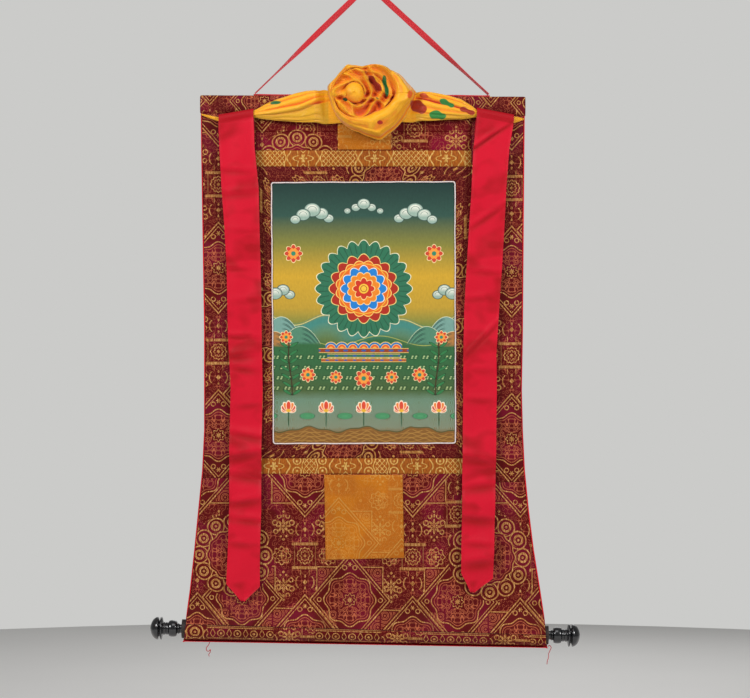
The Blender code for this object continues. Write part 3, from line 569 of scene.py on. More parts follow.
def column_group():
    """One column of the brocade, folded about its axis, in millimetres from the middle of a diamond: the
    diamond with a lobed lace medallion, the corners of a square behind it, and half a repeat on a barred
    square with cross flowers and lotus sprays round it. Taken is where the diamond and its square lie."""
    tree, given, result = start_group("brocade column", {"Across": 0.0, "Along": 0.0},
                                      ("Diamond", "Loose", "Lace", "Taken", "Sprays"))
    x, y = Amount(tree, given["Across"]), Amount(tree, given["Along"])
    rim = (x / DIAMOND[0] + y / DIAMOND[1] - 1.0) * DIAMOND_STEEP
    within, beyond = inside(rim + 3.0), inside(0.5 - rim)
    out, turn = reach(x, y), turn_of(x, y)
    lobes = cosine(turn * 8.0)
    tip, tip_turn = reach(x, y - 57.0), turn_of(x, y - 57.0)
    diamond = joined(
        band(rim, 0.95),
        band(rim + 4.4, 0.6),
        band(out - 40.5 - lobes * 2.6, 0.95) * within,
        inside(out - 3.6 - lobes * 1.3),
        band(out - 8.8 - lobes * 1.5, 0.8),
        inside(tip - 2.9 - cosine(tip_turn * 6.0) * 1.3),
        band(reach(x - 8.4, y - 51.5) - 3.4, 0.75) * within,
        band(reach(x - 50.5, y) - 3.2, 0.75) * within)
    square = larger(x - STAR[0], y - STAR[1])
    corner = reach(x - 46.0, y - 43.5)
    medallion = curls(x, y, out) * inside(out - 33.5 - lobes * 2.0) * inside(11.0 - out)
    medallion = larger(medallion, band(out - 36.0 - lobes * 2.4, 0.6))
    fan = band(fold(corner, 5.4) - 1.0, 0.55) * inside(square + 2.6) * inside(3.2 - rim)
    away = y.run("MULTIPLY_ADD", -1.0, REPEAT / 2)
    ring, ring_turn = reach(x, away), turn_of(x, away)
    cross = away - 42.5
    loose = joined(
        band(square, 0.85) * beyond,
        band(away - 19.2, 2.3, 0.8) * inside(x - 21.5) * 0.8,
        band(x - 17.4, 0.5, 0.7) * inside(away - 17.0) * 0.6,
        band(ring - 12.4 - cosine(ring_turn * 12.0) * 0.8, 0.8, 0.7),
        band(ring - 7.2 - cosine(ring_turn * 8.0) * 1.0, 0.7),
        inside(ring - 2.4),
        inside(x + abs(cross) - 4.0),
        inside(reach(x * 1.7, abs(cross) - 9.6) - 2.3),
        band(reach(x - 2.0, cross) - 13.0, 0.8) * inside(8.0 - x) * inside(abs(cross) - 9.5),
        band(x - 7.0, 0.5) * inside(abs(away - 26.5) - 4.0))
    wheel, wheel_turn = reach(x - 38.5, away), turn_of(x - 38.5, away)
    sprays = joined(
        spray(x - 35.5, away - 48.0) * beyond,
        band(wheel - 13.2 - cosine(wheel_turn * 8.0) * 1.5, 0.85),
        band(wheel - 8.2 - cosine(wheel_turn * 8.0 + 3.14) * 1.0, 0.7),
        inside(wheel - 3.4 - cosine(wheel_turn * 4.0) * 1.6))
    return finish_group(tree, result, Diamond=diamond, Loose=loose, Lace=larger(medallion * inside(rim), fan),
                        Taken=larger(inside(rim - 2.0), inside(square)), Sprays=sprays)


def brocade_group():
    """The brocade's figure in cloth millimetres: two columns in turn, vines on the bare ground, round
    medallions with a ring of curled lobes on every other outer one, and slow changes of the ground between
    maroon and magenta."""
    column = column_group()
    tree, given, result = start_group("brocade figure", {"Cloth": None}, ("Gold", "Lace", "Tint"))
    x, y, _ = vector_parts(tree, given["Cloth"])
    first = place_group(tree, column, Across=fold(x, COLUMN_PITCH), Along=fold(y, REPEAT))
    second = place_group(tree, column, Across=fold(x - SECOND_ACROSS, COLUMN_PITCH),
                         Along=fold(y - SECOND_COLUMN, REPEAT))
    first_free, second_free = 1.0 - first["Taken"], 1.0 - second["Taken"]
    gold = joined(
        first["Diamond"] * (1.0 - second["Taken"] * 0.5),
        second["Diamond"],
        larger(first["Loose"], first["Sprays"]) * second_free,
        second["Loose"] * first_free)
    bare = first_free * second_free * (1.0 - larger(first["Sprays"], gold))
    lace = joined(
        first["Lace"],
        second["Lace"] * first_free,
        vines(fold(x, COLUMN_PITCH), fold(y, REPEAT)) * bare * VINE_STRENGTH)
    round_x = abs(fold(x - 92.5, ROUND_PITCH * 2) - ROUND_PITCH / 2)
    round_y = fold(y - REPEAT / 2, REPEAT)
    out, turn = reach(round_x, round_y), turn_of(round_x, round_y)
    lobe_side = fold(turn * LOBES_OUT, LOBES_OUT * 6.28319 / 12)
    lobe, lobe_turn = reach(lobe_side, out - LOBES_OUT), turn_of(lobe_side, out - LOBES_OUT)
    curl = band(fold(lobe - lobe_turn * 1.02, 6.4) - 0.9, 0.75) * inside(lobe - 10.6)
    wheel = larger(band(lobe - 13.6, 1.0), curl) * inside(41.5 - out)
    wheel = larger(wheel, band(out - 41.0 - cosine(turn * 12.0) * 1.4, 0.95))
    inner = curls(round_x, round_y, out) * inside(out - 34.0)
    inner = larger(inner, band(out - 36.5 - cosine(turn * 12.0) * 1.2, 0.55))
    whole = inside(out - ROUND_RADIUS)
    grey = noise(tree, given["Cloth"], 0.016, 1.0)
    return finish_group(tree, result, Gold=gold * (1.0 - whole) + wheel * whole,
                        Lace=lace * (1.0 - whole) + inner * whole, Tint=inside(0.53 - grey, 0.08))


def weave_group():
    """Over-and-under of threads: ridges across and along whose height changes place at each crossing."""
    tree, given, result = start_group("weave", {"Cloth": None, "Pitch": 0.6}, ("Height",))
    x, y, _ = vector_parts(tree, given["Cloth"])
    pitch = Amount(tree, given["Pitch"])
    first = x * 3.1416 / pitch
    second = y * 3.1416 / pitch
    height = sine(first) * cosine(second * 0.5) * 0.5 + sine(second) * cosine(first * 0.5) * 0.5
    return finish_group(tree, result, Height=height * 0.5 + 0.5)


def wear_group():
    """Slow fading and fine uneven dye, as a value about 1 to multiply a colour by."""
    tree, given, result = start_group("dye", {"Cloth": None, "Strength": 0.2}, ("Shade",))
    slow = noise(tree, given["Cloth"], 0.012, 2.0)
    fine = noise(tree, moved(tree, given["Cloth"], scale=(1.0, 0.25, 1.0)), 0.9, 2.0)
    total = (slow - 0.5) * 1.2 + (fine - 0.5) * 0.9
    return finish_group(tree, result, Shade=total * Amount(tree, given["Strength"]) + 1.0)


def start_material(name, roughness=0.6, metallic=0.0, sheen=0.0, coat=0.0, level=0.5, layer="cloth"):
    """A material with its shader's plain values set, and the piece's cloth coordinates."""
    material = bpy.data.materials.new(name)
    material.use_nodes = True
    tree = material.node_tree
    shader = tree.nodes["Principled BSDF"]
    for label, value in (("Roughness", roughness), ("Metallic", metallic), ("Sheen Weight", sheen),
                         ("Sheen Roughness", 0.4), ("Coat Weight", coat), ("Specular IOR Level", level)):
        shader.inputs[label].default_value = value
    if layer == "cloth":
        node = tree.nodes.new("ShaderNodeAttribute")
        node.attribute_name = "cloth"
        place = node.outputs["Vector"]
    else:
        node = tree.nodes.new("ShaderNodeTexCoord")
        place = moved(tree, node.outputs["Object"], scale=(1000.0, 1000.0, 1000.0))
    return material, tree, shader, place


def shade_layer(tree):
    """The piece's own shade value, from 0 in the open to 1 deep in a fold."""
    node = tree.nodes.new("ShaderNodeAttribute")
    node.attribute_name = "shade"
    return Amount(tree, node.outputs["Fac"])


def raise_surface(tree, shader, height, distance, strength=1.0):
    """Bump from a height between 0 and 1, with its real depth in millimetres."""
    node = tree.nodes.new("ShaderNodeBump")
    node.inputs["Distance"].default_value = distance * MM
    node.inputs["Strength"].default_value = strength
    tree.links.new(height.socket, node.inputs["Height"])
    tree.links.new(node.outputs[0], shader.inputs["Normal"])


def feed(tree, shader, label, value):
    """Links an amount or a colour to one of the shader's inputs."""
    tree.links.new(value.socket if isinstance(value, Amount) else value, shader.inputs[label])


def feed_shaded(tree, shader, base, shade):
    """The base colour, multiplied by a value."""
    feed(tree, shader, "Base Color", mixed(tree, 1.0, base, grey_of(tree, shade), "MULTIPLY"))


def feed_dyed(tree, shader, base, cloth, strength):
    """The base colour, unevenly dyed."""
    feed_shaded(tree, shader, base, place_group(tree, dyeing, Cloth=cloth, Strength=strength)["Shade"])


def raise_cloth(tree, shader, cloth, relief, part, pitch, distance, strength):
    """Bump from a relief, of which the given part is the cloth's threads of the given pitch."""
    threads = place_group(tree, weave, Cloth=cloth, Pitch=pitch)["Height"]
    raise_surface(tree, shader, relief * (1.0 - part) + threads * part, distance, strength)


# Finishes

RING_PITCH = 27.0
GOLD_REPEAT = 118.0
# Two stretches of the silk painted a duller yellow as shade. The left one lies below a slanted line, given by
# its height at a place across, that place and its slope, and left of another place. The right one lies below
# a level line and between two places.
LEFT_SWAG = (191.7, -68.0, 0.183, -66.0)
RIGHT_SWAG = (211.0, 78.0, 180.0)


def brocade_finish(name, tones, place=(0.0, 0.0), scale=1.0, gloss=0.42, hem=None):
    """Satin ground with a raised metallic gold figure and copper lace, moved and scaled to the cut of the
    piece. The tones are ground, tint, thread, pale thread and lace. The hem is a line, given by its height
    and slope, and the shift of the figure below it, where stretches of ringed border lie too."""
    ground, tint, thread, pale, lace = tones
    material, tree, shader, cloth = start_material(name, roughness=0.55, level=0.12)
    figure = moved(tree, cloth, (place[0], place[1], 0.0), (scale, scale, 1.0))
    if hem:
        x, y, _ = vector_parts(tree, cloth)
        line_down, line_slope, shift_across, shift_down = hem
        below = y - line_down - x * line_slope
        past = inside(-below, 0.3)
        node = tree.nodes.new("ShaderNodeCombineXYZ")
        tree.links.new((past * shift_across).socket, node.inputs[0])
        tree.links.new((past * shift_down).socket, node.inputs[1])
        added = tree.nodes.new("ShaderNodeVectorMath")
        tree.links.new(figure, added.inputs[0])
        tree.links.new(node.outputs[0], added.inputs[1])
        figure = added.outputs[0]
    drawn = place_group(tree, brocade, Cloth=figure)
    base = mixed(tree, drawn["Tint"] * 0.8, ground, tint)
    fleck = noise(tree, moved(tree, cloth, scale=(1.0, 0.16, 1.0)), 0.8, 1.0)
    gold = mixed(tree, inside(0.58 - fleck, 0.22), thread, pale)
    outline, curled = drawn["Gold"], drawn["Lace"]
    if hem:
        ringed = past * inside(-0.35 - cosine(x * 0.0354 + 1.2), 0.06)
        off = abs(below - 13.0)
        ring = reach(fold(x, RING_PITCH), below - 13.0)
        border = joined(
            band(ring - 5.6, 0.8),
            inside(ring - 2.2),
            band(off - 9.2, 0.7),
            band(off - 11.8, 0.5),
            band(fold(x - RING_PITCH / 2, RING_PITCH) + off * 0.5 - 4.0, 0.7) * inside(off - 7.4))
        outline = outline * (1.0 - ringed) + border * ringed
        curled = curled * (1.0 - ringed)
        # Painted shadow: a dark line along the hem's crease, with the gold figure left out on it.
        crease_shadow = band(below, 0.7, 1.0)
        outline = outline * (1.0 - crease_shadow)
        base = mixed(tree, crease_shadow * 0.8, base, "#120103")
    worn = outline * inside(0.34 - fleck, 0.14)
    fine = curled * inside(0.36 - fleck, 0.16)
    both = mixed(tree, fine * 0.9, base, lace)
    feed_dyed(tree, shader, mixed(tree, worn * 0.92, both, gold), cloth, 0.5)
    feed(tree, shader, "Metallic", worn * 0.25)
    feed(tree, shader, "Roughness", 0.58 - worn * (0.58 - gloss))
    raise_cloth(tree, shader, cloth, larger(worn, fine * 0.7), 0.28, 0.75, 0.42, 0.75)
    return material


def gold_strip_finish(name, shift, lattice_share):
    """Orange-gold strip: stretches of lattice and of lobed curls and flowers, in paler gold."""
    material, tree, shader, cloth = start_material(name, roughness=0.5, level=0.2)
    x, y, _ = vector_parts(tree, moved(tree, cloth, (shift[0], shift[1], 0.0)))
    lattice = larger(band(fold(x * 1.12 + y, 9.0), 0.85), band(fold(x * 1.12 - y, 9.0), 0.85))
    span = fold(x, GOLD_REPEAT)
    out, turn = reach(span, y), turn_of(span, y)
    arcs = joined(
        band(out - 25.0 - cosine(turn * 7.0) * 1.5, 1.0),
        band(reach(span - 38.0, y - 9.0) - 7.0, 0.95),
        band(reach(span - 38.0, y + 9.0) - 6.0, 0.95),
        band(out - 13.0 - cosine(turn * 6.0) * 3.4, 1.05),
        inside(out - 4.4 - cosine(turn * 5.0) * 2.6),
        inside(reach(span - 38.0, abs(y) - 8.0) - 2.0),
        band(fold(x * 0.5 + y * 0.9, 60.0) - 2.5, 0.8) * inside(30.0 - span))
    half = GOLD_REPEAT / 2
    from_lattice = fold(x - half, GOLD_REPEAT) - half * lattice_share
    where = inside(from_lattice, 1.0)
    line = lattice * where + arcs * (1.0 - where)
    line = larger(line, band(from_lattice - 2.0 - cosine(y * 0.3) * 1.6, 0.9))
    fleck = noise(tree, moved(tree, cloth, scale=(1.0, 0.2, 1.0)), 0.7, 1.0)
    ground = mixed(tree, inside(0.5 - fleck, 0.3), "#84400c", "#a35a14")
    pale = mixed(tree, inside(0.55 - fleck, 0.25), "#bf8c3c", "#dab873")
    feed_dyed(tree, shader, mixed(tree, line * inside(0.33 - fleck, 0.12), ground, pale), cloth, 0.45)
    feed(tree, shader, "Metallic", line * 0.3 + 0.08)
    raise_cloth(tree, shader, cloth, line, 0.3, 0.75, 0.42, 0.75)
    return material


def cloth_finish(name, deep, open_, pitch, roughness, sheen, strength=0.3, slub=0.0, hollow_shade=0.0):
    """Plain woven cloth: dyed unevenly, with painted shade darkening it in its folds and in soft broad
    patches that stand for hollows, its threads raised.
    """
    material, tree, shader, cloth = start_material(name, roughness=roughness, sheen=sheen, level=0.2)
    depth = shade_layer(tree)
    # Painted shade: broad soft noise patches, darkened as if they were hollows.
    if hollow_shade:
        hollow = noise(tree, moved(tree, cloth, scale=(0.85, 0.6, 1.0)), 0.022, 2.0, 0.6)
        depth = larger(depth, inside(0.56 - hollow, 0.16) * hollow_shade)
    # Painted shade: the open tone turns to the deep one with the piece's fold shade and the broad patches.
    feed_dyed(tree, shader, mixed(tree, depth, open_, deep), cloth, strength)
    streak = noise(tree, moved(tree, cloth, scale=(0.06, 1.6, 1.0)), 1.0, 2.0)
    raise_cloth(tree, shader, cloth, streak, 1.0 - slub, pitch, 0.25, 0.6)
    feed(tree, shader, "Roughness", streak * 0.12 + (roughness - 0.06))
    return material


def silk_finish(name):
    """Yellow silk with printed leaves and flowers, painted red-orange as shade deep in its folds."""
    material, tree, shader, cloth = start_material(name, roughness=0.4, sheen=0.15, level=0.35)
    depth = shade_layer(tree)
    node = tree.nodes.new("ShaderNodeTexCoord")
    x, _, z = vector_parts(tree, moved(tree, node.outputs["Object"], scale=(1000.0, 1000.0, -1000.0)))
    # Painted shade: the yellow turns red-orange, then deep red, the deeper the piece's fold shade.
    base = mixed(tree, inside(0.36 - depth, 0.6), "#eba516", "#dd5c08")
    base = mixed(tree, inside(0.80 - depth, 0.3), base, "#a81c06")
    top, from_x, slope, end = LEFT_SWAG
    left_swag = inside(top - (x - from_x) * slope - z, 2.0) * inside(x - end, 2.0)
    top, start, end = RIGHT_SWAG
    right_swag = inside(top - z, 2.0) * inside(start - x, 3.0) * inside(x - end, 6.0)
    # Painted shade: the two lower stretches turn a duller yellow.
    base = mixed(tree, larger(left_swag, right_swag) * 0.75, base, "#c8981e")
    wobble = sine(x * 0.31 + z * 0.22) * 0.9
    for across, down, wide, high, lean, tone in PRINTS:
        along = (x - across) * math.cos(lean) + (z - down) * math.sin(lean)
        side = (z - down) * math.cos(lean) - (x - across) * math.sin(lean)
        leaf = reach(along / wide, side / high) * high - high + wobble
        base = mixed(tree, inside(leaf, 0.9), base, tone)
    feed_dyed(tree, shader, base, cloth, 0.25)
    crinkle = noise(tree, moved(tree, cloth, scale=(0.35, 1.0, 1.0)), 0.16, 2.0, 0.55)
    raise_cloth(tree, shader, cloth, crinkle, 0.05, 0.4, 2.4, 0.8)
    return material


# Printed leaves and flowers on the silk: across, down, half length, half width, lean and tone
PRINTS = (
    (27.8, 167.0, 17.0, 3.4, 1.38, "#1f6b34"),
    (10.5, 163.0, 21.0, 4.2, 0.87, "#8a1a0c"),
    (-38.5, 189.5, 4.4, 1.9, 0.5, "#1c3f1c"),
    (14.0, 188.0, 3.0, 2.2, 0.9, "#2b5a24"),
    (20.0, 228.0, 4.6, 2.9, 0.1, "#a8200c"),
    (67.5, 181.0, 3.8, 6.4, 0.2, "#e2600e"),
    (81.0, 199.0, 15.0, 9.5, 0.55, "#9c2a0e"),
    (112.0, 213.0, 14.0, 6.6, 0.15, "#2b7a33"),
    (127.0, 193.0, 13.0, 4.2, 0.42, "#2b7a33"),
    (162.0, 206.0, 13.0, 4.0, 0.35, "#9c2a0e"),
    (92.0, 182.0, 10.0, 3.4, 0.35, "#b5400e"),
    (-152.5, 192.6, 7.5, 3.6, -0.2, "#1d5f2c"),
    (-252.0, 212.0, 5.0, 2.0, 0.1, "#2b7a33"),
)


def thread_finish(name, code, deep, pitch):
    """Twisted or woven cord: slanting plies along the piece's cloth coordinates."""
    material, tree, shader, cloth = start_material(name, roughness=0.55, sheen=0.3)
    x, y, _ = vector_parts(tree, cloth)
    ply = sine((x + y) * (6.2832 / pitch))
    fleck = noise(tree, cloth, 0.6, 1.0)
    # Painted shade: the deep tone lies in the grooves between the plies, the lighter one on their crests.
    feed(tree, shader, "Base Color", mixed(tree, inside(0.2 - ply - fleck * 0.6, 1.4), deep, code))
    raise_surface(tree, shader, ply * 0.5 + 0.5, 0.3, 0.7)
    return material


def lacquer_finish(name):
    """Black lacquer on turned wood, rubbed through to brown in scattered patches."""
    material, tree, shader, place = start_material(name, roughness=0.2, coat=0.6, layer="object")
    rub = noise(tree, place, 0.06, 3.0)
    fine = noise(tree, place, 0.9, 2.0)
    base = mixed(tree, inside(0.70 - rub - fine * 0.06, 0.08), "#0b0c10", "#2a1c16")
    feed(tree, shader, "Base Color", base)
    feed(tree, shader, "Roughness", fine * 0.16 + 0.14)
    raise_surface(tree, shader, fine * 0.6 + rub * 0.4, 0.12, 0.35)
    shader.inputs["Coat Roughness"].default_value = 0.12
    return material


def wood_finish(name):
    """Dark stained roller wood, its grain along the roller."""
    material, tree, shader, place = start_material(name, roughness=0.6, layer="object")
    grain = noise(tree, moved(tree, place, scale=(0.03, 1.0, 1.0)), 0.35, 3.0)
    feed(tree, shader, "Base Color", mixed(tree, inside(0.5 - grain, 0.3), "#170d09", "#2c1a11"))
    raise_surface(tree, shader, grain, 0.2, 0.5)
    return material


def canvas_finish(name):
    """Painted cotton canvas with a made-up picture: a lotus wheel over hills and water, with clouds."""
    material, tree, shader, cloth = start_material(name, roughness=0.62, level=0.25)
    x, y, _ = vector_parts(tree, moved(tree, cloth, (8.0, -322.0, 0.0)))
    side = abs(x)
    ramp = tree.nodes.new("ShaderNodeValToRGB")
    stops = ((0.0, "#16302c"), (0.13, "#2c4d42"), (0.24, "#7d7a34"), (0.36, "#c3992a"), (0.48, "#b3912e"),
             (0.55, "#6f7d3a"), (0.66, "#33583a"), (0.84, "#4c5a2c"), (1.0, "#7d5220"))
    for _ in range(len(stops) - 2):
        ramp.color_ramp.elements.new(0.5)
    for element, (position, code) in zip(ramp.color_ramp.elements, stops):
        element.position = position
        element.color = colour(code)
    tree.links.new((y / CANVAS_HEIGHT).socket, ramp.inputs[0])
    picture = ramp.outputs[0]

    def paint(mask, code):
        """Lays a colour over the picture where the mask is."""
        nonlocal picture
        picture = mixed(tree, mask, picture, code)

    ridge = y - 232.0 - cosine(side * 0.055) * 11.0 - sine(x * 0.021 + 1.0) * 7.0
    paint(inside(-ridge, 8.0) * inside(ridge - 26.0, 30.0), "#3f7f74")
    paint(band(ridge, 0.6), "#d9c47a")
    near = y - 262.0 - cosine(x * 0.043 + 2.0) * 8.0
    paint(inside(-near, 14.0) * inside(near - 60.0, 60.0), "#2f6038")
    paint(band(near, 0.5), "#a8a850")
    ripple = reach(fold(x, 26.0), fold(y, 14.0) * 1.6)
    paint(band(fold(ripple, 5.0) - 1.3, 0.45) * inside(352.0 - y, 16.0) * inside(y - 410.0, 12.0), "#86b0a2")
    shore = 408.0 - y - cosine(x * 0.07) * 4.0 - sine(x * 0.19) * 1.5
    paint(inside(shore, 3.0), "#7d5424")
    paint(band(shore, 0.6), "#33431d")
    paint(band(fold(shore, 7.0) - 2.0 + sine(x * 0.3) * 1.2, 0.5) * inside(shore + 4.0), "#a77c3a")
    grass = reach(fold(x + y * 0.37, 19.0) - 3.0, fold(y, 17.0) * 1.4 - 2.0)
    paint(inside(grass - 1.5) * inside(284.0 - y, 6.0) * inside(y - 346.0, 6.0), "#a9bd84")
    paint(band(grass - 3.6, 0.5) * inside(282.0 - y, 6.0) * inside(y - 346.0, 6.0), "#254a2c")
    for across, down, wide, tall, code in HILLS:
        hill = y - down + (1.0 - ((side - across) / wide) * ((side - across) / wide)) * tall
        seen = inside(-hill) * inside(y - down - 4.0, 5.0)
        paint(seen, code)
        paint(band(hill, 0.7) * seen, "#dcdcb8")
        paint(band(fold(hill, 8.0) - 3.0, 0.6) * seen * inside(side - across + 4.0, 8.0), "#24463c")
    for across, down, radius in CLOUDS:
        puff = reach(side - across, (y - down) * 1.2)
        paint(inside(puff - radius, 0.8), "#2c443e")
        paint(inside(puff - radius + 1.2, 1.0), "#8fa89a")
        paint(inside(puff - radius * 0.72, 3.0) * inside(y - down + radius * 0.1, radius * 0.9), "#e9e7d8")
        paint(band(puff - radius * 0.5, 0.5) * inside(y - down, 3.0), "#5d7d72")
    stem = side - 121.0 - sine(y * 0.05) * 3.0
    tree_part = inside(262.0 - y) * inside(y - 352.0)
    paint(inside(abs(stem) - 1.0) * tree_part, "#3b2c18")
    for lean in (0.55, -0.55):
        leaf_x = stem * math.copysign(1.0, lean) - 8.0
        leaf_y = fold(y + stem * lean, 13.0)
        leaf = reach(leaf_x, leaf_y * 2.6) - 7.4
        paint(inside(leaf) * tree_part, "#12331f")
        paint(inside(leaf + 1.3) * tree_part, "#2f7442")
    lotus_x, lotus_y = fold(x, LOTUS_PITCH), y - 372.0
    pad = reach(fold(x - LOTUS_PITCH / 2, LOTUS_PITCH), (y - 386.0) * 2.4)
    paint(inside(pad - 13.0), "#1d4630")
    paint(inside(pad - 11.6), "#4b9161")
    paint(band(pad - 7.0, 0.5), "#26583b")
    paint(inside(lotus_x - 0.9) * inside(abs(y - 388.0) - 14.0), "#23492c")
    for lean, tall, code in LOTUS:
        along = lotus_x * math.sin(lean) - (lotus_y - 6.0) * math.cos(lean)
        off = lotus_x * math.cos(lean) + (lotus_y - 6.0) * math.sin(lean)
        petal = reach((along - tall * 0.5) / (tall * 0.5), off / 4.4) * 4.4 - 4.4
        paint(inside(petal, 0.6), "#f3e6cc")
        paint(inside(petal + 0.9, 0.6), code)
    paint(inside(reach(lotus_x, (lotus_y - 5.0) * 1.6) - 4.2, 0.6), "#e0a92c")
    wheel_y = y - 176.0
    middle = reach(x, wheel_y)
    angle = turn_of(x, wheel_y)
    for radius, lobes, depth, turn, code, rim in WHEEL:
        edge = middle - radius - abs(cosine(angle * (lobes / 2) + turn)) * depth
        paint(inside(edge, 0.7), rim)
        paint(inside(edge + 1.3, 0.7), code)
    veins = band(cosine(angle * 24.0), 0.2, 0.3) * inside(58.0 - middle) * inside(middle - 74.0)
    paint(veins, "#1d4a35")
    paint(band(middle - 41.0, 0.6), "#e7b93c")
    paint(inside(middle - 8.0, 0.7), "#e7b93c")
    paint(band(middle - 5.0, 0.5), "#8f1f12")
    for across, down, radius in BLOOMS:
        flower = reach(side - across, y - down)
        turn = turn_of(side - across, y - down)
        petal = flower - radius - abs(cosine(turn * 4.0)) * radius * 0.42
        paint(inside(petal, 0.7), "#f1d9a0")
        paint(inside(petal + 1.1, 0.7), "#c4402a")
        paint(inside(flower - radius * 0.66 - abs(cosine(turn * 4.0 + 1.57)) * radius * 0.2, 0.6), "#e9923a")
        paint(inside(flower - radius * 0.34, 0.6), "#2f7f62")
    base = y - 266.0
    petal_row = reach(fold(x, 18.0), base - 9.0)
    low = inside(base - 9.0) * inside(side - 63.0)
    for size, code in PETALS:
        paint(inside(petal_row - size, 0.6) * low, code)
    for down, half, wide, code in STEPS:
        slab = inside(abs(y - down) - half, 0.4) * inside(side - wide, 0.4)
        paint(slab, code)
        paint(band(abs(y - down) - half + 0.6, 0.5) * slab, "#dcb466")
        paint(inside(reach(fold(x, 15.0) * 0.5, (y - down) * 1.2) - half * 0.5, 0.5) * slab, "#33569a")
    brush = noise(tree, moved(tree, cloth, scale=(1.0, 0.45, 1.0)), 0.34, 3.0)
    feed_shaded(tree, shader, picture, brush * 0.34 + 0.83)
    raise_cloth(tree, shader, cloth, brush, 0.6, 0.6, 0.14, 0.5)
    return material


# The made-up picture, in millimetres from the canvas's middle line and its top edge
CANVAS_HEIGHT = 431.0
LOTUS_PITCH = 62.0
CLOUDS = ((58.0, 60.0, 9.0), (70.0, 52.0, 12.0), (85.0, 46.0, 14.0), (100.0, 54.0, 12.0),
          (113.0, 62.0, 9.0), (122.0, 186.0, 9.0), (133.0, 178.0, 11.0), (146.0, 184.0, 12.0),
          (13.0, 42.0, 8.0), (0.0, 36.0, 11.0), (27.0, 48.0, 6.0))
HILLS = ((136.0, 258.0, 34.0, 36.0, "#6f978c"), (104.0, 262.0, 30.0, 24.0, "#4d7f66"),
         (148.0, 266.0, 26.0, 20.0, "#a8743c"))
LOTUS = ((1.35, 13.0, "#d9683a"), (0.95, 15.0, "#c93a24"), (0.5, 17.0, "#e07b34"), (0.0, 18.0, "#d2452a"))
PETALS = ((11.5, "#e9c26a"), (10.4, "#2f6fae"), (7.4, "#e9c26a"), (6.6, "#d8552a"), (3.6, "#f0a23c"))
STEPS = ((278.0, 4.0, 74.0, "#8a3a1e"), (286.6, 3.4, 60.0, "#2f6b52"), (294.0, 3.0, 70.0, "#a5522a"))
WHEEL = ((72.0, 24.0, 9.0, 0.0, "#2c6b4e", "#e8e2c0"), (50.0, 16.0, 8.0, 0.0, "#a52818", "#f0d27a"),
         (43.0, 16.0, 4.0, 1.57, "#d8641e", "#f4cf6a"), (32.0, 12.0, 7.0, 0.0, "#1f78c4", "#eee6d0"),
         (24.0, 12.0, 4.0, 1.57, "#e08022", "#f4d68a"), (14.0, 8.0, 5.0, 0.0, "#c2301c", "#f4d68a"))
BLOOMS = ((116.0, 118.0, 11.0), (92.0, 318.0, 9.0), (46.0, 322.0, 8.0), (0.0, 324.0, 11.0),
          (128.0, 256.0, 8.0))


# Groups and finishes, built once
brocade = brocade_group()
weave = weave_group()
dyeing = wear_group()
MAROON = ("#540304", "#68041f", "#a97038", "#dcaa6a", "#ac5a3a")
CRIMSON = ("#5a0306", "#740426", "#aa7036", "#d8a466", "#ac5a3a")
FRAME_RED = ("#4c0304", "#560309", "#b07838", "#dcaa68", "#ac5a3a")
GOLD_TONES = ("#ab5f14", "#b66a12", "#bd8238", "#c68f44", "#bf8034")
PANEL_HEM = (1054.5, 0.0118, 61.0, 96.0)
panel_brocade = brocade_finish("brocade of the bottom panel", MAROON, (105.0, -799.0), hem=PANEL_HEM)
left_brocade = brocade_finish("brocade of the left side", MAROON, (247.7, -463.8))
right_brocade = brocade_finish("brocade of the right side", MAROON, (-236.0, -470.0))
sleeve_brocade = brocade_finish("brocade of the sleeve", MAROON, (20.0, -44.0), 1.15)
strip_brocade = brocade_finish("brocade of the upper strips", CRIMSON, (-2.0, -165.0))
frame_brocade = brocade_finish("brocade of the frame", FRAME_RED, (79.0, -168.0), 1.05)
patch_brocade = brocade_finish("gold brocade of the patches", GOLD_TONES, (123.3, -709.6), gloss=0.5)
gold_top = gold_strip_finish("gold brocade of the upper strip", (-10.0, -283.0), 0.46)
gold_bottom = gold_strip_finish("gold brocade of the lower strip", (38.0, -790.6), 0.16)
canvas = canvas_finish("painted canvas")
red_lining = cloth_finish("red cotton lining", "#8a0410", "#cc0e1e", 0.8, 0.72, 0.2, 0.35)
red_satin = cloth_finish("red satin", "#960009", "#c50425", 0.35, 0.5, 0.03, 0.12, 0.6, 0.75)
yellow_silk = silk_finish("yellow silk")
white_cotton = thread_finish("white cotton edging", "#f4e9e6", "#c8b2b2", 1.5)
red_tape = thread_finish("red woven tape", "#d21022", "#b00a1a", 0.9)
red_thread = thread_finish("red thread", "#d0142a", "#8c0512", 0.9)
lacquer = lacquer_finish("black lacquer")
wood = wood_finish("stained wood")


# Camera, floor and light

def set_camera():
    """Straight on, at the height of the middle of the picture."""
    data = bpy.data.cameras.new("camera")
    data.sensor_fit = "VERTICAL"
    data.sensor_height = SENSOR_HEIGHT
    data.lens = SENSOR_HEIGHT * CAMERA_AWAY / VIEW_HEIGHT
    obj = new_object("camera", data)
    obj.location = (VIEW_AIM[0], -CAMERA_AWAY, VIEW_AIM[1])
    obj.rotation_euler = (math.pi / 2, 0.0, 0.0)
    bpy.context.scene.camera = obj
    bpy.context.scene.view_settings.view_transform = "Standard"


def set_floor():
    """A plain pale floor under the hanging."""
    material, tree, shader, place = start_material("pale floor", roughness=0.8, layer="object")
    mottle = noise(tree, place, 0.002, 2.0)
    feed(tree, shader, "Base Color", mixed(tree, mottle, "#efeeec", "#f6f5f3"))
    mesh = bpy.data.meshes.new("floor")
    angles = full_turn(FLOOR_CORNERS)
    level = np.full(FLOOR_CORNERS, FLOOR_Z)
    corners = np.stack([FLOOR_RADIUS * np.cos(angles), FLOOR_RADIUS * np.sin(angles), level], axis=1)
    mesh.from_pydata(corners.tolist(), [], [list(range(FLOOR_CORNERS))])
    mesh.materials.append(material)
    new_object("floor", mesh)


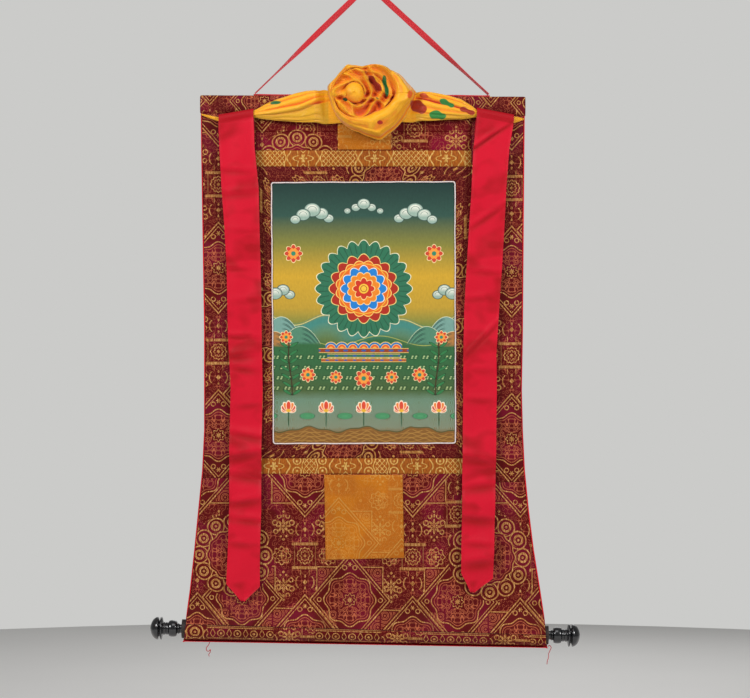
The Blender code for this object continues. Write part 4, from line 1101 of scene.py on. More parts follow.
def set_lights():
    """A soft light at each side of the camera, a weak one above and one behind, and a pale room."""
    for index, (x, y, z, size, power) in enumerate(zip(*LIGHTS.values())):
        data = bpy.data.lights.new(f"soft light {index}", "AREA")
        data.size = size
        data.energy = power
        obj = new_object(data.name, data)
        obj.location = (x, y, z)
        away = np.array(LIGHT_AIM) - (x, y, z)
        obj.rotation_euler = (math.atan2(math.hypot(away[0], away[1]), -away[2]), 0.0,
                              math.atan2(-away[0], away[1]))
    world = bpy.data.worlds.new("pale room")
    world.use_nodes = True
    tree = world.node_tree
    seen = tree.nodes["Background"]
    seen.inputs["Color"].default_value = colour(ROOM_SEEN)
    lit = tree.nodes.new("ShaderNodeBackground")
    lit.inputs["Color"].default_value = colour("#f4f4f2")
    lit.inputs["Strength"].default_value = ROOM_LIGHT
    path = tree.nodes.new("ShaderNodeLightPath")
    chosen = tree.nodes.new("ShaderNodeMixShader")
    tree.links.new(path.outputs["Is Camera Ray"], chosen.inputs[0])
    tree.links.new(lit.outputs[0], chosen.inputs[1])
    tree.links.new(seen.outputs[0], chosen.inputs[2])
    tree.links.new(chosen.outputs[0], tree.nodes["World Output"].inputs["Surface"])
    bpy.context.scene.world = world


# Cords

TAPE_WIDTH = 10.0
TAPE_THICK = 1.6
NAIL_BEND = 10.0
CORD_ENDS = ((-187.6, 175.3), (198.0, 177.1))
STRAND_STEPS = 34
BEND_STEPS = 14
TWIST = table(("share", "turn"), [
    (0.0, 14), (0.10, 20), (0.22, 62), (0.30, 88), (0.42, 84), (0.475, 40), (0.5, 0),
    (0.525, -40), (0.58, -84), (0.70, -88), (0.78, -62), (0.90, -20), (1.0, -14)])
EDGE_CORD = (-189.9, 200.3)
THREADS = {
    "thread_left": (
        (-262.6, 6.4, 1082.2), (-264.8, 5.4, 1087.0), (-267.6, 5.0, 1090.6), (-267.8, 5.2, 1095.2),
        (-264.6, 5.8, 1097.0), (-261.6, 6.6, 1094.2), (-262.0, 7.4, 1098.8), (-264.2, 7.0, 1102.6),
        (-263.4, 6.6, 1105.6)),
    "thread_right": (
        (296.5, 5.0, 1088.4), (299.4, 4.6, 1087.4), (301.4, 4.4, 1090.0), (299.8, 4.8, 1095.4),
        (297.4, 5.2, 1101.2), (297.2, 5.4, 1107.4), (295.4, 5.2, 1112.6), (294.6, 5.0, 1118.4)),
}


def hanging_cord():
    """Woven tape from one anchor over the hanging point to the other: its oval section is turned about the
    path by the twist table, and leans back from the nail to the sleeve."""
    centre = np.array([0.0, NAIL_BEND])
    ends = [np.array(end) for end in CORD_ENDS]

    def touch(end, side):
        """Where a straight strand from the end meets the bend over the nail."""
        away = end - centre
        angle = math.atan2(away[1], away[0]) + side * math.acos(NAIL_BEND / np.linalg.norm(away))
        return centre + NAIL_BEND * np.array([math.cos(angle), math.sin(angle)])

    left, right = touch(ends[0], 1), touch(ends[1], -1)
    low, high = [math.atan2(*(p - centre)[::-1]) % (2 * math.pi) for p in (left, right)]
    strand = np.linspace(0, 1, STRAND_STEPS)[:, None]
    arc = np.linspace(low, high, BEND_STEPS + 1)[1:-1]
    bend = centre + NAIL_BEND * np.stack([np.cos(arc), np.sin(arc)], axis=1)
    path = np.concatenate([ends[0] + (left - ends[0]) * strand, bend, right + (ends[1] - right) * strand])
    along = unit(np.gradient(path, axis=0))
    length = run_length(path)
    turn = np.radians(through(TWIST["share"], TWIST["turn"], length / length[-1]))
    side = np.stack([along[:, 1], np.zeros(len(path)), -along[:, 0]], axis=1)
    back = np.array([0.0, 1.0, 0.0])
    wide = np.cos(turn)[:, None] * back + np.sin(turn)[:, None] * side
    thin = -np.sin(turn)[:, None] * back + np.cos(turn)[:, None] * side
    middle = np.stack([path[:, 0], SLEEVE_MIDDLE * path[:, 1] / CORD_ENDS[0][1], path[:, 1]], axis=1)
    angles = full_turn(20)
    half_wide = np.sign(np.cos(angles)) * np.abs(np.cos(angles)) ** 0.6 * TAPE_WIDTH / 2
    half_thin = np.sign(np.sin(angles)) * np.abs(np.sin(angles)) ** 0.8 * TAPE_THICK / 2
    rings = middle[:, None] + wide[:, None] * half_wide[:, None] + thin[:, None] * half_thin[:, None]
    cloth = cloth_pair(length[:, None], half_wide[None, :])
    obj = add_tube("hanging_tape", rings, red_tape, node="hanging_cord", slot="cord", cloth=cloth)


def round_cord(name, route, radius, material, node, steps, plies=0.0):
    """Round cord on a smooth curve through its route: a ring of points carried along it, its surface
    lifted by twisted plies."""
    route = np.array(route, dtype=float)
    marks = run_length(route)
    places = np.linspace(0, marks[-1], steps)
    middle = through(marks, route, places)
    along = unit(np.gradient(middle, axis=0))
    side = unit(np.cross(along, (0.0, 1.0, 0.0)))
    up = np.cross(side, along)
    angles = full_turn(10)
    length = run_length(middle)
    lift = 1.0 + 0.10 * np.cos(2 * (angles[None, :] - length[:, None] * plies))
    rings = middle[:, None] + radius * lift[..., None] * (
        side[:, None] * np.cos(angles)[:, None] + up[:, None] * np.sin(angles)[:, None])
    cloth = cloth_pair(length[:, None], (angles * radius)[None, :])
    return add_tube(name, rings, material, node=node, slot="cord", cloth=cloth), middle, length[-1]


def cords():
    """The hanging cord, its sewn run along the top, and the loose thread ends at the hem."""
    hanging_cord()
    across = np.linspace(*EDGE_CORD, 60)
    top = across_line(across, SLEEVE_TOP) - 1.8 + 0.25 * np.sin(across / 13.0)
    route = np.stack([across, np.full_like(across, SLEEVE_MIDDLE), top], axis=1)
    round_cord("cord_on_top_edge", route, 1.5, red_tape, "cord_along_top", 320, 0.9)
    for node, route in THREADS.items():
        obj, middle, length = round_cord(f"{node}_fibre", route, 0.6, red_thread, node, 60, 1.4)
        length * MM


# Panels of the hanging

def lay_patch(name, node, corners, thick, material, slot, raised=0.0, puffed=0.5, gathers=0.5):
    """A four-cornered piece of cloth: the hanging's face plus slack, gathers along its four seams, and edges
    that roll back. Its cloth coordinates are the places across and down."""
    corners = np.array(corners, dtype=float)
    wide = np.linalg.norm(corners[1] - corners[0])
    high = np.linalg.norm(corners[3] - corners[0])
    u = fine_steps(wide, 4.0)[None, :, None]
    v = fine_steps(high, 4.0)[:, None, None]
    grid = between_corners(corners + np.sign(corners.mean(axis=0) - corners) * HALF_GAP, u, v)
    across, down = grid[..., 0], grid[..., 1]
    left, top = u[..., 0] * wide, v[..., 0] * high
    sides = (left, wide - left), (top, high - top)
    rolled = [pucker(edge + 0 * down, down, gathers) for edge in sides[0]]
    rolled += [pucker(edge + 0 * across, across, gathers) for edge in sides[1]]
    near = np.minimum(np.minimum(*sides[0]), np.minimum(*sides[1]))
    depth = face_depth(across, down) - raised - slack(across, down, 0.6)
    depth += np.maximum(np.maximum.reduce(rolled), 0.0) - puffed * smooth_step(near / 9.0)
    points = np.stack([across, depth, down], axis=-1)
    obj = add_sheet(name, points, material, thick, node=node, slot=slot, cloth=cloth_pair(across, down))
    min(flat_area(points), wide * high * MM * MM)


def centre_column():
    """Strips, mitred frame, canvas and the two gold patches."""
    left, right = COLUMN_LEFT, COLUMN_RIGHT
    seam = (across_line(left, SLEEVE_SEAM), across_line(right, SLEEVE_SEAM))

    def strip(name, node, top, bottom, material, slot, **facts):
        """One strip over the column's whole width, between the heights of its top and bottom edges."""
        corners = ((left, top[0]), (right, top[1]), (right, bottom[1]), (left, bottom[0]))
        lay_patch(name, node, corners, BROCADE, material, slot, **facts)

    strip("upper_strip", "top_strip_upper", seam, (STRIP_FOLD,) * 2, strip_brocade, "brocade_crimson",
          puffed=0.9)
    strip("lower_strip", "top_strip_lower", (STRIP_FOLD,) * 2, (GOLD_TOP,) * 2, strip_brocade,
          "brocade_crimson", puffed=0.9)
    strip("upper_gold_strip", "gold_strip_top", (GOLD_TOP,) * 2, (FRAME_TOP,) * 2, gold_top, "brocade_gold")
    strip("lower_gold_strip", "gold_strip_bottom", (FRAME_BOTTOM,) * 2, (PANEL_SEAM,) * 2, gold_bottom,
          "brocade_gold")
    outer = ((left, FRAME_TOP), (right, FRAME_TOP), (right, FRAME_BOTTOM), (left, FRAME_BOTTOM))
    for index, side in enumerate(("top", "right", "bottom", "left")):
        after = (index + 1) % 4
        corners = (outer[index], outer[after], OPENING[after], OPENING[index])
        mitred_strip(f"mount_{side}", f"frame_{side}", corners)
    lay_patch("picture", "painting", OPENING, CANVAS, canvas, "canvas", raised=-CANVAS_SUNK, puffed=0.2,
              gathers=0.15)
    lay_patch("upper_gold_patch", "gold_patch_top", PATCH_TOP, PATCH, patch_brocade, "brocade_gold",
              raised=PATCH + PATCH_GAP, gathers=0.25, puffed=0.3)
    lay_patch("lower_gold_patch", "gold_patch_bottom", PATCH_BOTTOM, PATCH, patch_brocade, "brocade_gold",
              raised=PATCH + PATCH_GAP, gathers=0.25, puffed=0.3)


def mitred_strip(name, node, corners):
    """One side of the dark red frame, a trapezium with mitred ends; u runs along it and v across it."""
    corners = np.array(corners, dtype=float)
    along = np.linalg.norm(corners[1] - corners[0])
    wide = abs(np.cross(corners[1] - corners[0], corners[3] - corners[0])) / along
    heading = (corners[1] - corners[0]) / along
    inward = np.array([-heading[1], heading[0]])
    inward *= np.sign(inward @ (corners.mean(axis=0) - corners[0]))
    pull = np.array([heading + inward, inward - heading, -heading - inward, heading - inward])
    u = fine_steps(along, 4.0)[None, :, None]
    v = fine_steps(wide, 3.4)[:, None, None]
    grid = between_corners(corners + pull * HALF_GAP, u, v)
    across, down = grid[..., 0], grid[..., 1]
    run, off = (u * along + 0 * v)[..., 0], (v * wide + 0 * u)[..., 0]
    end = np.minimum(run, along - run)
    rolled = np.maximum(pucker(off, run, 0.45), pucker(wide - off, run, 0.45))
    depth = face_depth(across, down) - slack(across, down, 0.5) + rolled + 0.6 * bump(end, 0.9)
    depth -= 0.5 * smooth_step(np.minimum(off, wide - off) / 8.0)
    points = np.stack([across, depth, down], axis=-1)
    obj = add_sheet(name, points, frame_brocade, BROCADE, node=node, slot="brocade_crimson",
                    cloth=cloth_pair(run, off))
    min(flat_area(points), along * wide * MM * MM)


def side_strip(name, node, outer, inner, seam_bottom, outer_on_left, material):
    """A long side strip: its outer edge follows the cut outline, its inner one the column's seam."""
    top = SLEEVE_SEAM[0] if outer_on_left else SLEEVE_SEAM[1]
    high = seam_bottom - HALF_GAP - top
    downs = top + fine_steps(high, 4.5) * high
    outer_x = outer(downs) + (LINING_EDGE if outer_on_left else -LINING_EDGE)
    inner_x = np.full_like(outer_x, inner - HALF_GAP if outer_on_left else inner + HALF_GAP)
    ends = (outer_x, inner_x) if outer_on_left else (inner_x, outer_x)
    wide = abs(float(np.mean(outer_x - inner_x)))
    u = fine_steps(wide, 4.0)[None, :]
    across = ends[0][:, None] * (1 - u) + ends[1][:, None] * u
    down = np.repeat(downs[:, None], u.size, axis=1)
    lean = across_line(across, SLEEVE_SEAM) + HALF_GAP - top
    down = down + lean * (1.0 - (down - top) / high)
    rolled = (pucker(u * wide + 0 * down, down, 0.5), pucker((1 - u) * wide + 0 * down, down, 0.6),
              pucker(down - top, across, 0.4), pucker(seam_bottom - down, across, 0.4))
    depth = face_depth(across, down) - slack(across, down, 0.9) + np.maximum.reduce(rolled)
    depth -= 0.6 * smooth_step(np.minimum(u, 1 - u) * wide / 11.0)
    points = np.stack([across, depth, down], axis=-1)
    obj = add_sheet(name, points, material, BROCADE, node=node, slot="brocade_maroon",
                    cloth=cloth_pair(across, down))
    flat_area(points) / (wide * MM)


def hem_surface(columns, top_rows, edge_inset, base, radius, heading, turn, arc_steps):
    """Grid over a sheet that hangs to the roller and wraps it: it eases from the hanging's face to a circle
    round the roller's axis, and turns by the given angle under it. The radius is a function of the angle."""
    width_ends = (edge_left(HEM_EDGE), edge_right(HEM_EDGE))
    axis_ends = (axis_down(width_ends[0]), axis_down(width_ends[1]))
    tops = [end - HEM_EASE for end in axis_ends]
    t = np.linspace(0, 1, 34)[1:]
    flare = [FLARE_START + (top - FLARE_START) * t for top in tops]
    ease = np.linspace(0, 1, 16)[1:]
    eased = [top + HEM_EASE * ease for top in tops]
    left = np.concatenate([top_rows, flare[0], eased[0]])
    right = np.concatenate([top_rows, flare[1], eased[1]])
    mix = np.concatenate([np.zeros(len(top_rows) + len(t)), smooth_step(ease)])[:, None]
    spread = (edge_left(left) + edge_inset)[:, None], (edge_right(right) - edge_inset)[:, None]
    across = share(columns[None, :], spread)
    down = share(columns[None, :], (left[:, None], right[:, None]))
    depth = (face_depth(across, down) + base) * (1 - mix) + (AXIS_DEPTH + heading * radius(0.0)) * mix
    flat = np.stack([across, depth, down], axis=-1)
    angle = np.radians(np.linspace(0, turn, arc_steps + 1)[1:])
    ring = radius(angle)
    place = [end + ring * np.sin(angle) for end in axis_ends]
    spread = (edge_left(place[0]) + edge_inset)[:, None], (edge_right(place[1]) - edge_inset)[:, None]
    across = share(columns[None, :], spread)
    depth = (AXIS_DEPTH + heading * ring * np.cos(angle))[:, None] + 0 * across
    round_ = np.stack([across, depth, axis_down(across) + (ring * np.sin(angle))[:, None]], axis=-1)
    points = np.concatenate([flat, round_])
    straight = np.concatenate([left, left[-1] + radius(0.0) * angle])
    return points, straight


def bottom_panel():
    """Full-width flared panel: its hem goes round the roller, its top edge steps at the column's seams."""
    width = edge_right(HEM_EDGE) - edge_left(HEM_EDGE)
    spread = (edge_left(PANEL_SEAM), edge_right(PANEL_SEAM))
    seams = [(edge - spread[0]) / (spread[1] - spread[0]) for edge in (COLUMN_LEFT, COLUMN_RIGHT)]
    columns = fine_steps(width, 4.0)
    columns = columns[(np.abs(columns - seams[0]) > 2.4 / width) & (np.abs(columns - seams[1]) > 2.4 / width)]
    steps = [seams[0], seams[0] + 1.2 / width, seams[1] - 1.2 / width, seams[1]]
    columns = np.sort(np.concatenate([columns, steps]))
    rows = PANEL_SEAM + 16.0 + np.linspace(0, 1, 11) * (FLARE_START - PANEL_SEAM - 16.0)
    rows = np.concatenate([PANEL_SEAM + np.array([0.0, 0.6, 1.6, 4.0, 7.5, 11.5]), rows])
    points, straight = hem_surface(columns, rows, LINING_EDGE, 0.0, lambda angle: HEM_OUTER + 0.0 * angle, -1,
                                   HEM_TURN, 12)
    seam = np.where(columns < seams[0] + 0.6 / width, SIDE_SEAM[0],
                    np.where(columns > seams[1] - 0.6 / width, SIDE_SEAM[1], PANEL_SEAM)) + HALF_GAP
    first = rows < FLARE_START - 1.0
    top = points[:len(rows)][first]
    raised = (FLARE_START - top[..., 2]) / (FLARE_START - PANEL_SEAM)
    top[..., 2] = FLARE_START - raised * (FLARE_START - seam)
    points[:len(rows)][first] = top
    across, down = points[..., 0], points[..., 2]
    from_side = np.minimum(columns, 1 - columns)[None, :] * width
    upper = smooth_step((1058.0 - down) / 40.0)
    relief = slack(across, down, 1.3) * upper
    trough = bump(down - 1034.0 - 3.0 * np.sin(across / 60.0), 5.0)
    relief -= 0.7 * trough * smooth_step((down - 990.0) / 30.0)
    rolled = np.maximum(pucker(down - seam, across, 0.5), pucker(from_side + 0 * down, down, 0.7) * upper)
    ripple = 0.5 * np.sin(across / 6.3 + 0.8 * np.sin(across / 29.0)) * bump(down - 1084.0, 12.0)
    points[..., 1] += rolled - relief + ripple
    cloth = cloth_pair(across, straight[:, None])
    cloth[:len(rows), :, 1] = down[:len(rows)]
    obj = add_sheet("flared_panel", points, panel_brocade, BROCADE, node="bottom_panel",
                    slot="brocade_maroon", cloth=cloth)
    tall = (straight[-1] - PANEL_SEAM) * MM
    min(flat_area(points), width * MM * tall)


def lining():
    """Red backing: behind the panels to both edges, folded round to a thin edge in front, and wrapped under
    the hem."""
    width = edge_right(HEM_EDGE) - edge_left(HEM_EDGE)
    inner = fine_steps(width, 6.0, (0.6, 2.2))
    rows = SLEEVE_SEAM[0] + np.linspace(0, 1, 120) * (FLARE_START - SLEEVE_SEAM[0])
    outer_face = BROCADE + LINING_GAP + LINING

    def radius(angle):
        """The wrapped radius, which thickens to a turned edge under the hem."""
        return share(smooth_step((np.degrees(angle) - LIP_TURN + 5.0) / 8.0), (LINING_OUTER, LIP_OUTER))

    points, straight = hem_surface(inner, rows, 0.0, outer_face, radius, 1, LINING_TURN, 18)
    top = across_line(points[0, :, 0], SLEEVE_SEAM) + HALF_GAP
    lean = (FLARE_START - points[:len(rows), :, 2]) / (FLARE_START - SLEEVE_SEAM[0])
    points[:len(rows), :, 2] = FLARE_START - lean * (FLARE_START - top)
    across, down = points[..., 0], points[..., 2]
    upper = smooth_step((1050.0 - down) / 60.0)
    points[..., 1] += (0.45 - slack(across, down, 1.2) + 0.2 * np.sin(across / 44.0 + down / 130.0)) * upper
    fronts = []
    for column, heading in ((0, 1), (-1, -1)):
        edge = points[:, column]
        turned = []
        for inward, forward in ((2.05, 1.0), (1.2, 1.0), (0.45, 0.97), (0.08, 0.8), (0.0, 0.45)):
            strip = edge.copy()
            strip[:, 0] += heading * inward
            flat_to = face_depth(strip[:, 0], strip[:, 2]) - LINING_PROUD
            hem = smooth_step((strip[:, 2] - 1030.0) / 40.0)
            above = edge[:, 1] * (1 - forward) + flat_to * forward
            strip[:, 1] = above * (1 - hem) + (edge[:, 1] - 0.8 * forward) * hem
            turned.append(strip)
        fronts.append(turned)
    points = np.stack(fronts[0] + list(points.swapaxes(0, 1)) + fronts[1][::-1], axis=1)
    columns = run_length(points[len(rows) // 2])
    cloth = cloth_pair(columns[None, :], straight[:, None])
    shade = 0.25 + 0.25 * np.sin(points[..., 0] / 37.0 + points[..., 2] / 91.0)
    shade *= smooth_step((1060.0 - points[..., 2]) / 20.0)
    obj = add_sheet("red_backing", points, red_lining, 0.6, towards=(0.0, 1.0, 0.0), node="lining",
                    slot="lining", cloth=cloth, shade=np.clip(shade, 0, 1))
    tall = (straight[-1] - SLEEVE_SEAM[0]) * MM
    flat_area(points) / tall


def top_sleeve():
    """Brocade wound round the stave: a rounded bar that follows the sloping top, with slack wrinkles, its
    free edge lying as a low step along the back, and its ends tucked in."""
    angles = np.linspace(-0.62 * math.pi, 1.42 * math.pi, 70)
    flat = np.sign(np.sin(angles)) * np.abs(np.sin(angles)) ** 0.5
    high = -np.sign(np.cos(angles)) * np.abs(np.cos(angles)) ** 0.5
    width = OUTLINE["right"][0] - OUTLINE["left"][0]
    across = OUTLINE["left"][0] + fine_steps(width, 4.0) * width
    tucked = np.ones(len(across))
    across = np.concatenate([across[:1]] * 3 + [across] + [across[-1:]] * 3)
    tucked = np.concatenate([[0.02, 0.5, 0.86], tucked, [0.86, 0.5, 0.02]])[:, None]
    top = across_line(across, SLEEVE_TOP)
    bottom = across_line(across, SLEEVE_SEAM) - 0.3
    wrinkle = 0.35 * np.sin(across[:, None] / 7.0 + angles * 2)
    wrinkle += 0.3 * np.sin(across[:, None] / 17.0 - angles * 3)
    end = bump(across - across[0], 0.9)[:, None] + bump(across - across[-1], 0.9)[:, None]
    under = 1.3 * smooth_step((angles - angles[0]) / 0.3) - 1.3
    half_deep = (SLEEVE_HALF_DEPTH + wrinkle * 0.9 - 0.9 * end + under) * tucked
    half_high = (((bottom - top) / 2)[:, None] + 0.12 * wrinkle - 0.7 * end + under * 0.3) * tucked
    points = np.empty((len(across), len(angles), 3))
    points[..., 0] = across[:, None]
    points[..., 1] = SLEEVE_MIDDLE - flat[None, :] * half_deep
    points[..., 2] = ((top + bottom) / 2)[:, None] + high[None, :] * half_high
    round_ = run_length(points[20])
    cloth = cloth_pair(across[:, None], round_[None, :])
    obj = add_sheet("wound_sleeve", points, sleeve_brocade, 0.9, node="top_sleeve", slot="brocade_maroon",
                    cloth=cloth)
    flat_area(points) / (round_[-1] * MM)


def white_piping():
    """White edging on the seam round the canvas: a low rounded section carried round the opening. It is a
    sewn cord, neither a sheet nor a free cord."""
    over, width, thick, corner_size = 0.5, 1.9, 1.1, 4.0
    pull = width / 2 - over
    corners = np.array(OPENING, dtype=float)
    corners += np.sign(corners.mean(axis=0) - corners) * pull
    path = []
    for index, corner in enumerate(corners):
        before, after = corners[index - 1], corners[(index + 1) % 4]
        start = corner + unit(before - corner) * corner_size
        end = corner + unit(after - corner) * corner_size
        t = np.linspace(0, 1, 7)[:, None]
        path.append(start * (1 - t) ** 2 + corner * 2 * t * (1 - t) + end * t ** 2)
        run = after + unit(corner - after) * corner_size - end
        count = int(np.linalg.norm(run) / 3.0)
        path.append(end + run * np.linspace(0, 1, count, endpoint=False)[1:, None])
    path = np.concatenate(path)
    along = unit(np.roll(path, -1, axis=0) - np.roll(path, 1, axis=0))
    sideways = np.stack([-along[:, 1], along[:, 0]], axis=1)
    length = run_length(path)
    path = path + sideways * (0.22 * np.sin(length / 19.0) + 0.12 * np.sin(length / 6.0))[:, None]
    angles = full_turn(14)
    place = path[:, None] + sideways[:, None] * (np.cos(angles) * width / 2)[None, :, None]
    rise = -PATCH_GAP - thick * (0.5 + 0.5 * np.sin(angles)) ** 0.7
    depth = face_depth(path[:, 0], path[:, 1])[:, None] + rise[None, :]
    rings = np.stack([place[..., 0], depth, place[..., 1]], axis=-1)
    cloth = cloth_pair(length[:, None], (angles * 1.1)[None, :])
    add_tube("white_edging", rings, white_cotton, closed=True, node="piping", slot="piping", cloth=cloth)


# Roller ends

def knobs():
    """Turned knobs: the profile, with its corners cut twice to round them, spun about the roller's axis. The
    CAD roller between them gets its own wood."""
    profile = np.stack([KNOB["out"], KNOB["radius"]], axis=1)
    for _ in range(2):
        near = profile[:-1] * 0.75 + profile[1:] * 0.25
        far = profile[:-1] * 0.25 + profile[1:] * 0.75
        cut = np.stack([near, far], axis=1).reshape(-1, 2)
        profile = np.concatenate([profile[:1], cut, profile[-1:]])
    slope = math.atan2(AXIS_RIGHT[1] - AXIS_LEFT[1], AXIS_RIGHT[0] - AXIS_LEFT[0])
    angles = full_turn(56)
    for node, end, heading in (("knob_left", ROLLER_ENDS[0], -1), ("knob_right", ROLLER_ENDS[1], 1)):
        across = end + heading * (0.3 + profile[:, 0])
        ring = profile[:, 1][:, None]
        rings = np.empty((len(profile), len(angles), 3))
        rings[..., 0] = across[:, None] - ring * np.sin(angles) * math.sin(slope)
        rings[..., 1] = AXIS_DEPTH + ring * np.cos(angles)
        rings[..., 2] = axis_down(across)[:, None] + ring * np.sin(angles) * math.cos(slope)
        add_tube(f"turned_{node}", rings, lacquer, node=node, slot="lacquer")
    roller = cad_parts["roller"]
    roller.data.materials.clear()
    roller.data.materials.append(wood)


# Ribbons

RIBBON_WIDTH = 57.0
TAIL_LENGTH = 46.0
LOOP_MIDDLE = 7.4
LOOP_HALF_DEPTH = 6.45
LOOP_HALF_HEIGHT = 8.05
RIBBON_COLUMNS = ("left", "left_down", "right", "right_down", "stand")
RIBBONS = {
    "ribbon_left": {
        "top": ((-246.8, 211.9), (-189.4, 202.0)),
        "rows": table(RIBBON_COLUMNS, [
            (-246.8, 235.0, -189.0, 228.0, 14.3), (-245.2, 269.0, -187.4, 266.0, 14.6),
            (-241.9, 335.0, -180.8, 331.0, 12.8), (-237.5, 392.0, -179.2, 398.0, 13.6),
            (-233.6, 467.0, -177.5, 470.0, 10.4), (-232.6, 520.0, -176.4, 512.0, 11.8),
            (-231.6, 575.0, -175.9, 566.0, 9.6), (-227.0, 660.0, -174.2, 668.0, 10.8),
            (-228.7, 725.0, -175.9, 735.0, 8.6), (-229.2, 756.0, -176.3, 764.0, 13.2),
            (-229.3, 790.0, -176.5, 799.0, 8.0), (-229.4, 826.0, -176.6, 834.0, 12.4),
            (-229.6, 858.0, -176.8, 866.0, 7.6), (-230.6, 895.0, -177.8, 899.0, 11.8),
            (-232.4, 940.0, -178.8, 943.0, 8.4), (-234.6, 985.0, -179.0, 989.5, 7.6),
            (-209.4, 1012.6, -205.0, 1012.9, 7.4),
        ]),
        # Creases: down, share across at its middle, how far it reaches, depth, half height and slant
        "creases": (
            (306.0, 0.35, 0.7, 0.8, 3.0, 4.0), (343.0, 0.5, 0.8, 0.9, 3.5, -6.0),
            (467.0, 0.25, 0.4, 1.1, 2.2, 2.0), (579.0, 0.35, 0.6, 1.4, 2.4, 3.0),
            (611.0, 0.3, 0.5, 1.8, 4.0, -5.0), (632.0, 0.4, 0.5, 1.5, 3.4, 6.0),
            (692.0, 0.6, 0.5, 0.8, 2.6, -4.0), (742.0, 0.55, 0.9, 1.6, 4.0, 9.0),
            (776.0, 0.4, 0.8, 1.8, 4.4, -10.0), (809.0, 0.6, 0.9, 1.5, 4.2, 8.0),
            (852.0, 0.45, 0.8, 1.6, 4.0, -7.0), (880.0, 0.6, 0.7, 1.2, 3.6, 6.0),
            (921.0, 0.4, 0.6, 0.9, 3.0, 5.0), (404.0, 0.6, 0.5, 0.5, 2.6, 3.0),
            (520.0, 0.6, 0.6, 0.5, 3.0, -3.0),
        ),
    },
    "ribbon_right": {
        "top": ((178.2, 200.2), (239.2, 211.8)),
        "rows": table(RIBBON_COLUMNS, [
            (177.0, 226.0, 236.8, 236.0, 14.3), (172.3, 269.0, 231.7, 266.0, 14.0),
            (169.0, 338.0, 226.7, 330.0, 13.6), (165.6, 392.0, 223.4, 402.0, 11.0),
            (160.7, 470.0, 219.6, 462.0, 12.6), (157.4, 533.0, 214.6, 538.0, 10.2),
            (155.8, 600.0, 210.4, 606.0, 11.6), (155.6, 665.0, 211.4, 658.0, 9.4),
            (155.0, 732.0, 210.4, 726.0, 9.8), (154.6, 776.0, 209.8, 782.0, 12.8),
            (154.2, 812.0, 209.0, 806.0, 8.2), (154.0, 852.0, 208.4, 858.0, 12.2),
            (153.4, 890.0, 207.6, 884.0, 8.2), (152.6, 925.0, 206.8, 929.0, 11.2),
            (152.4, 967.0, 204.6, 976.0, 8.0), (168.9, 998.2, 173.3, 998.6, 7.2),
        ]),
        "creases": (
            (246.0, 0.5, 1.4, 2.4, 2.6, -46.0), (381.0, 0.5, 0.7, 1.2, 3.0, -40.0),
            (587.0, 0.5, 0.8, 1.4, 3.4, -62.0), (472.0, 0.6, 0.7, 0.8, 2.6, 4.0),
            (515.0, 0.35, 0.6, 0.8, 2.8, -5.0), (683.0, 0.5, 0.6, 0.9, 2.8, 3.0),
            (783.0, 0.45, 0.8, 1.5, 4.4, 8.0), (826.0, 0.6, 0.8, 1.6, 4.4, -7.0),
            (880.0, 0.4, 0.9, 1.7, 4.6, 6.0), (952.0, 0.55, 0.8, 1.5, 5.0, -6.0),
            (920.0, 0.5, 0.6, 0.9, 3.0, 4.0), (634.0, 0.5, 0.6, 0.6, 3.0, 4.0),
        ),
    },
}


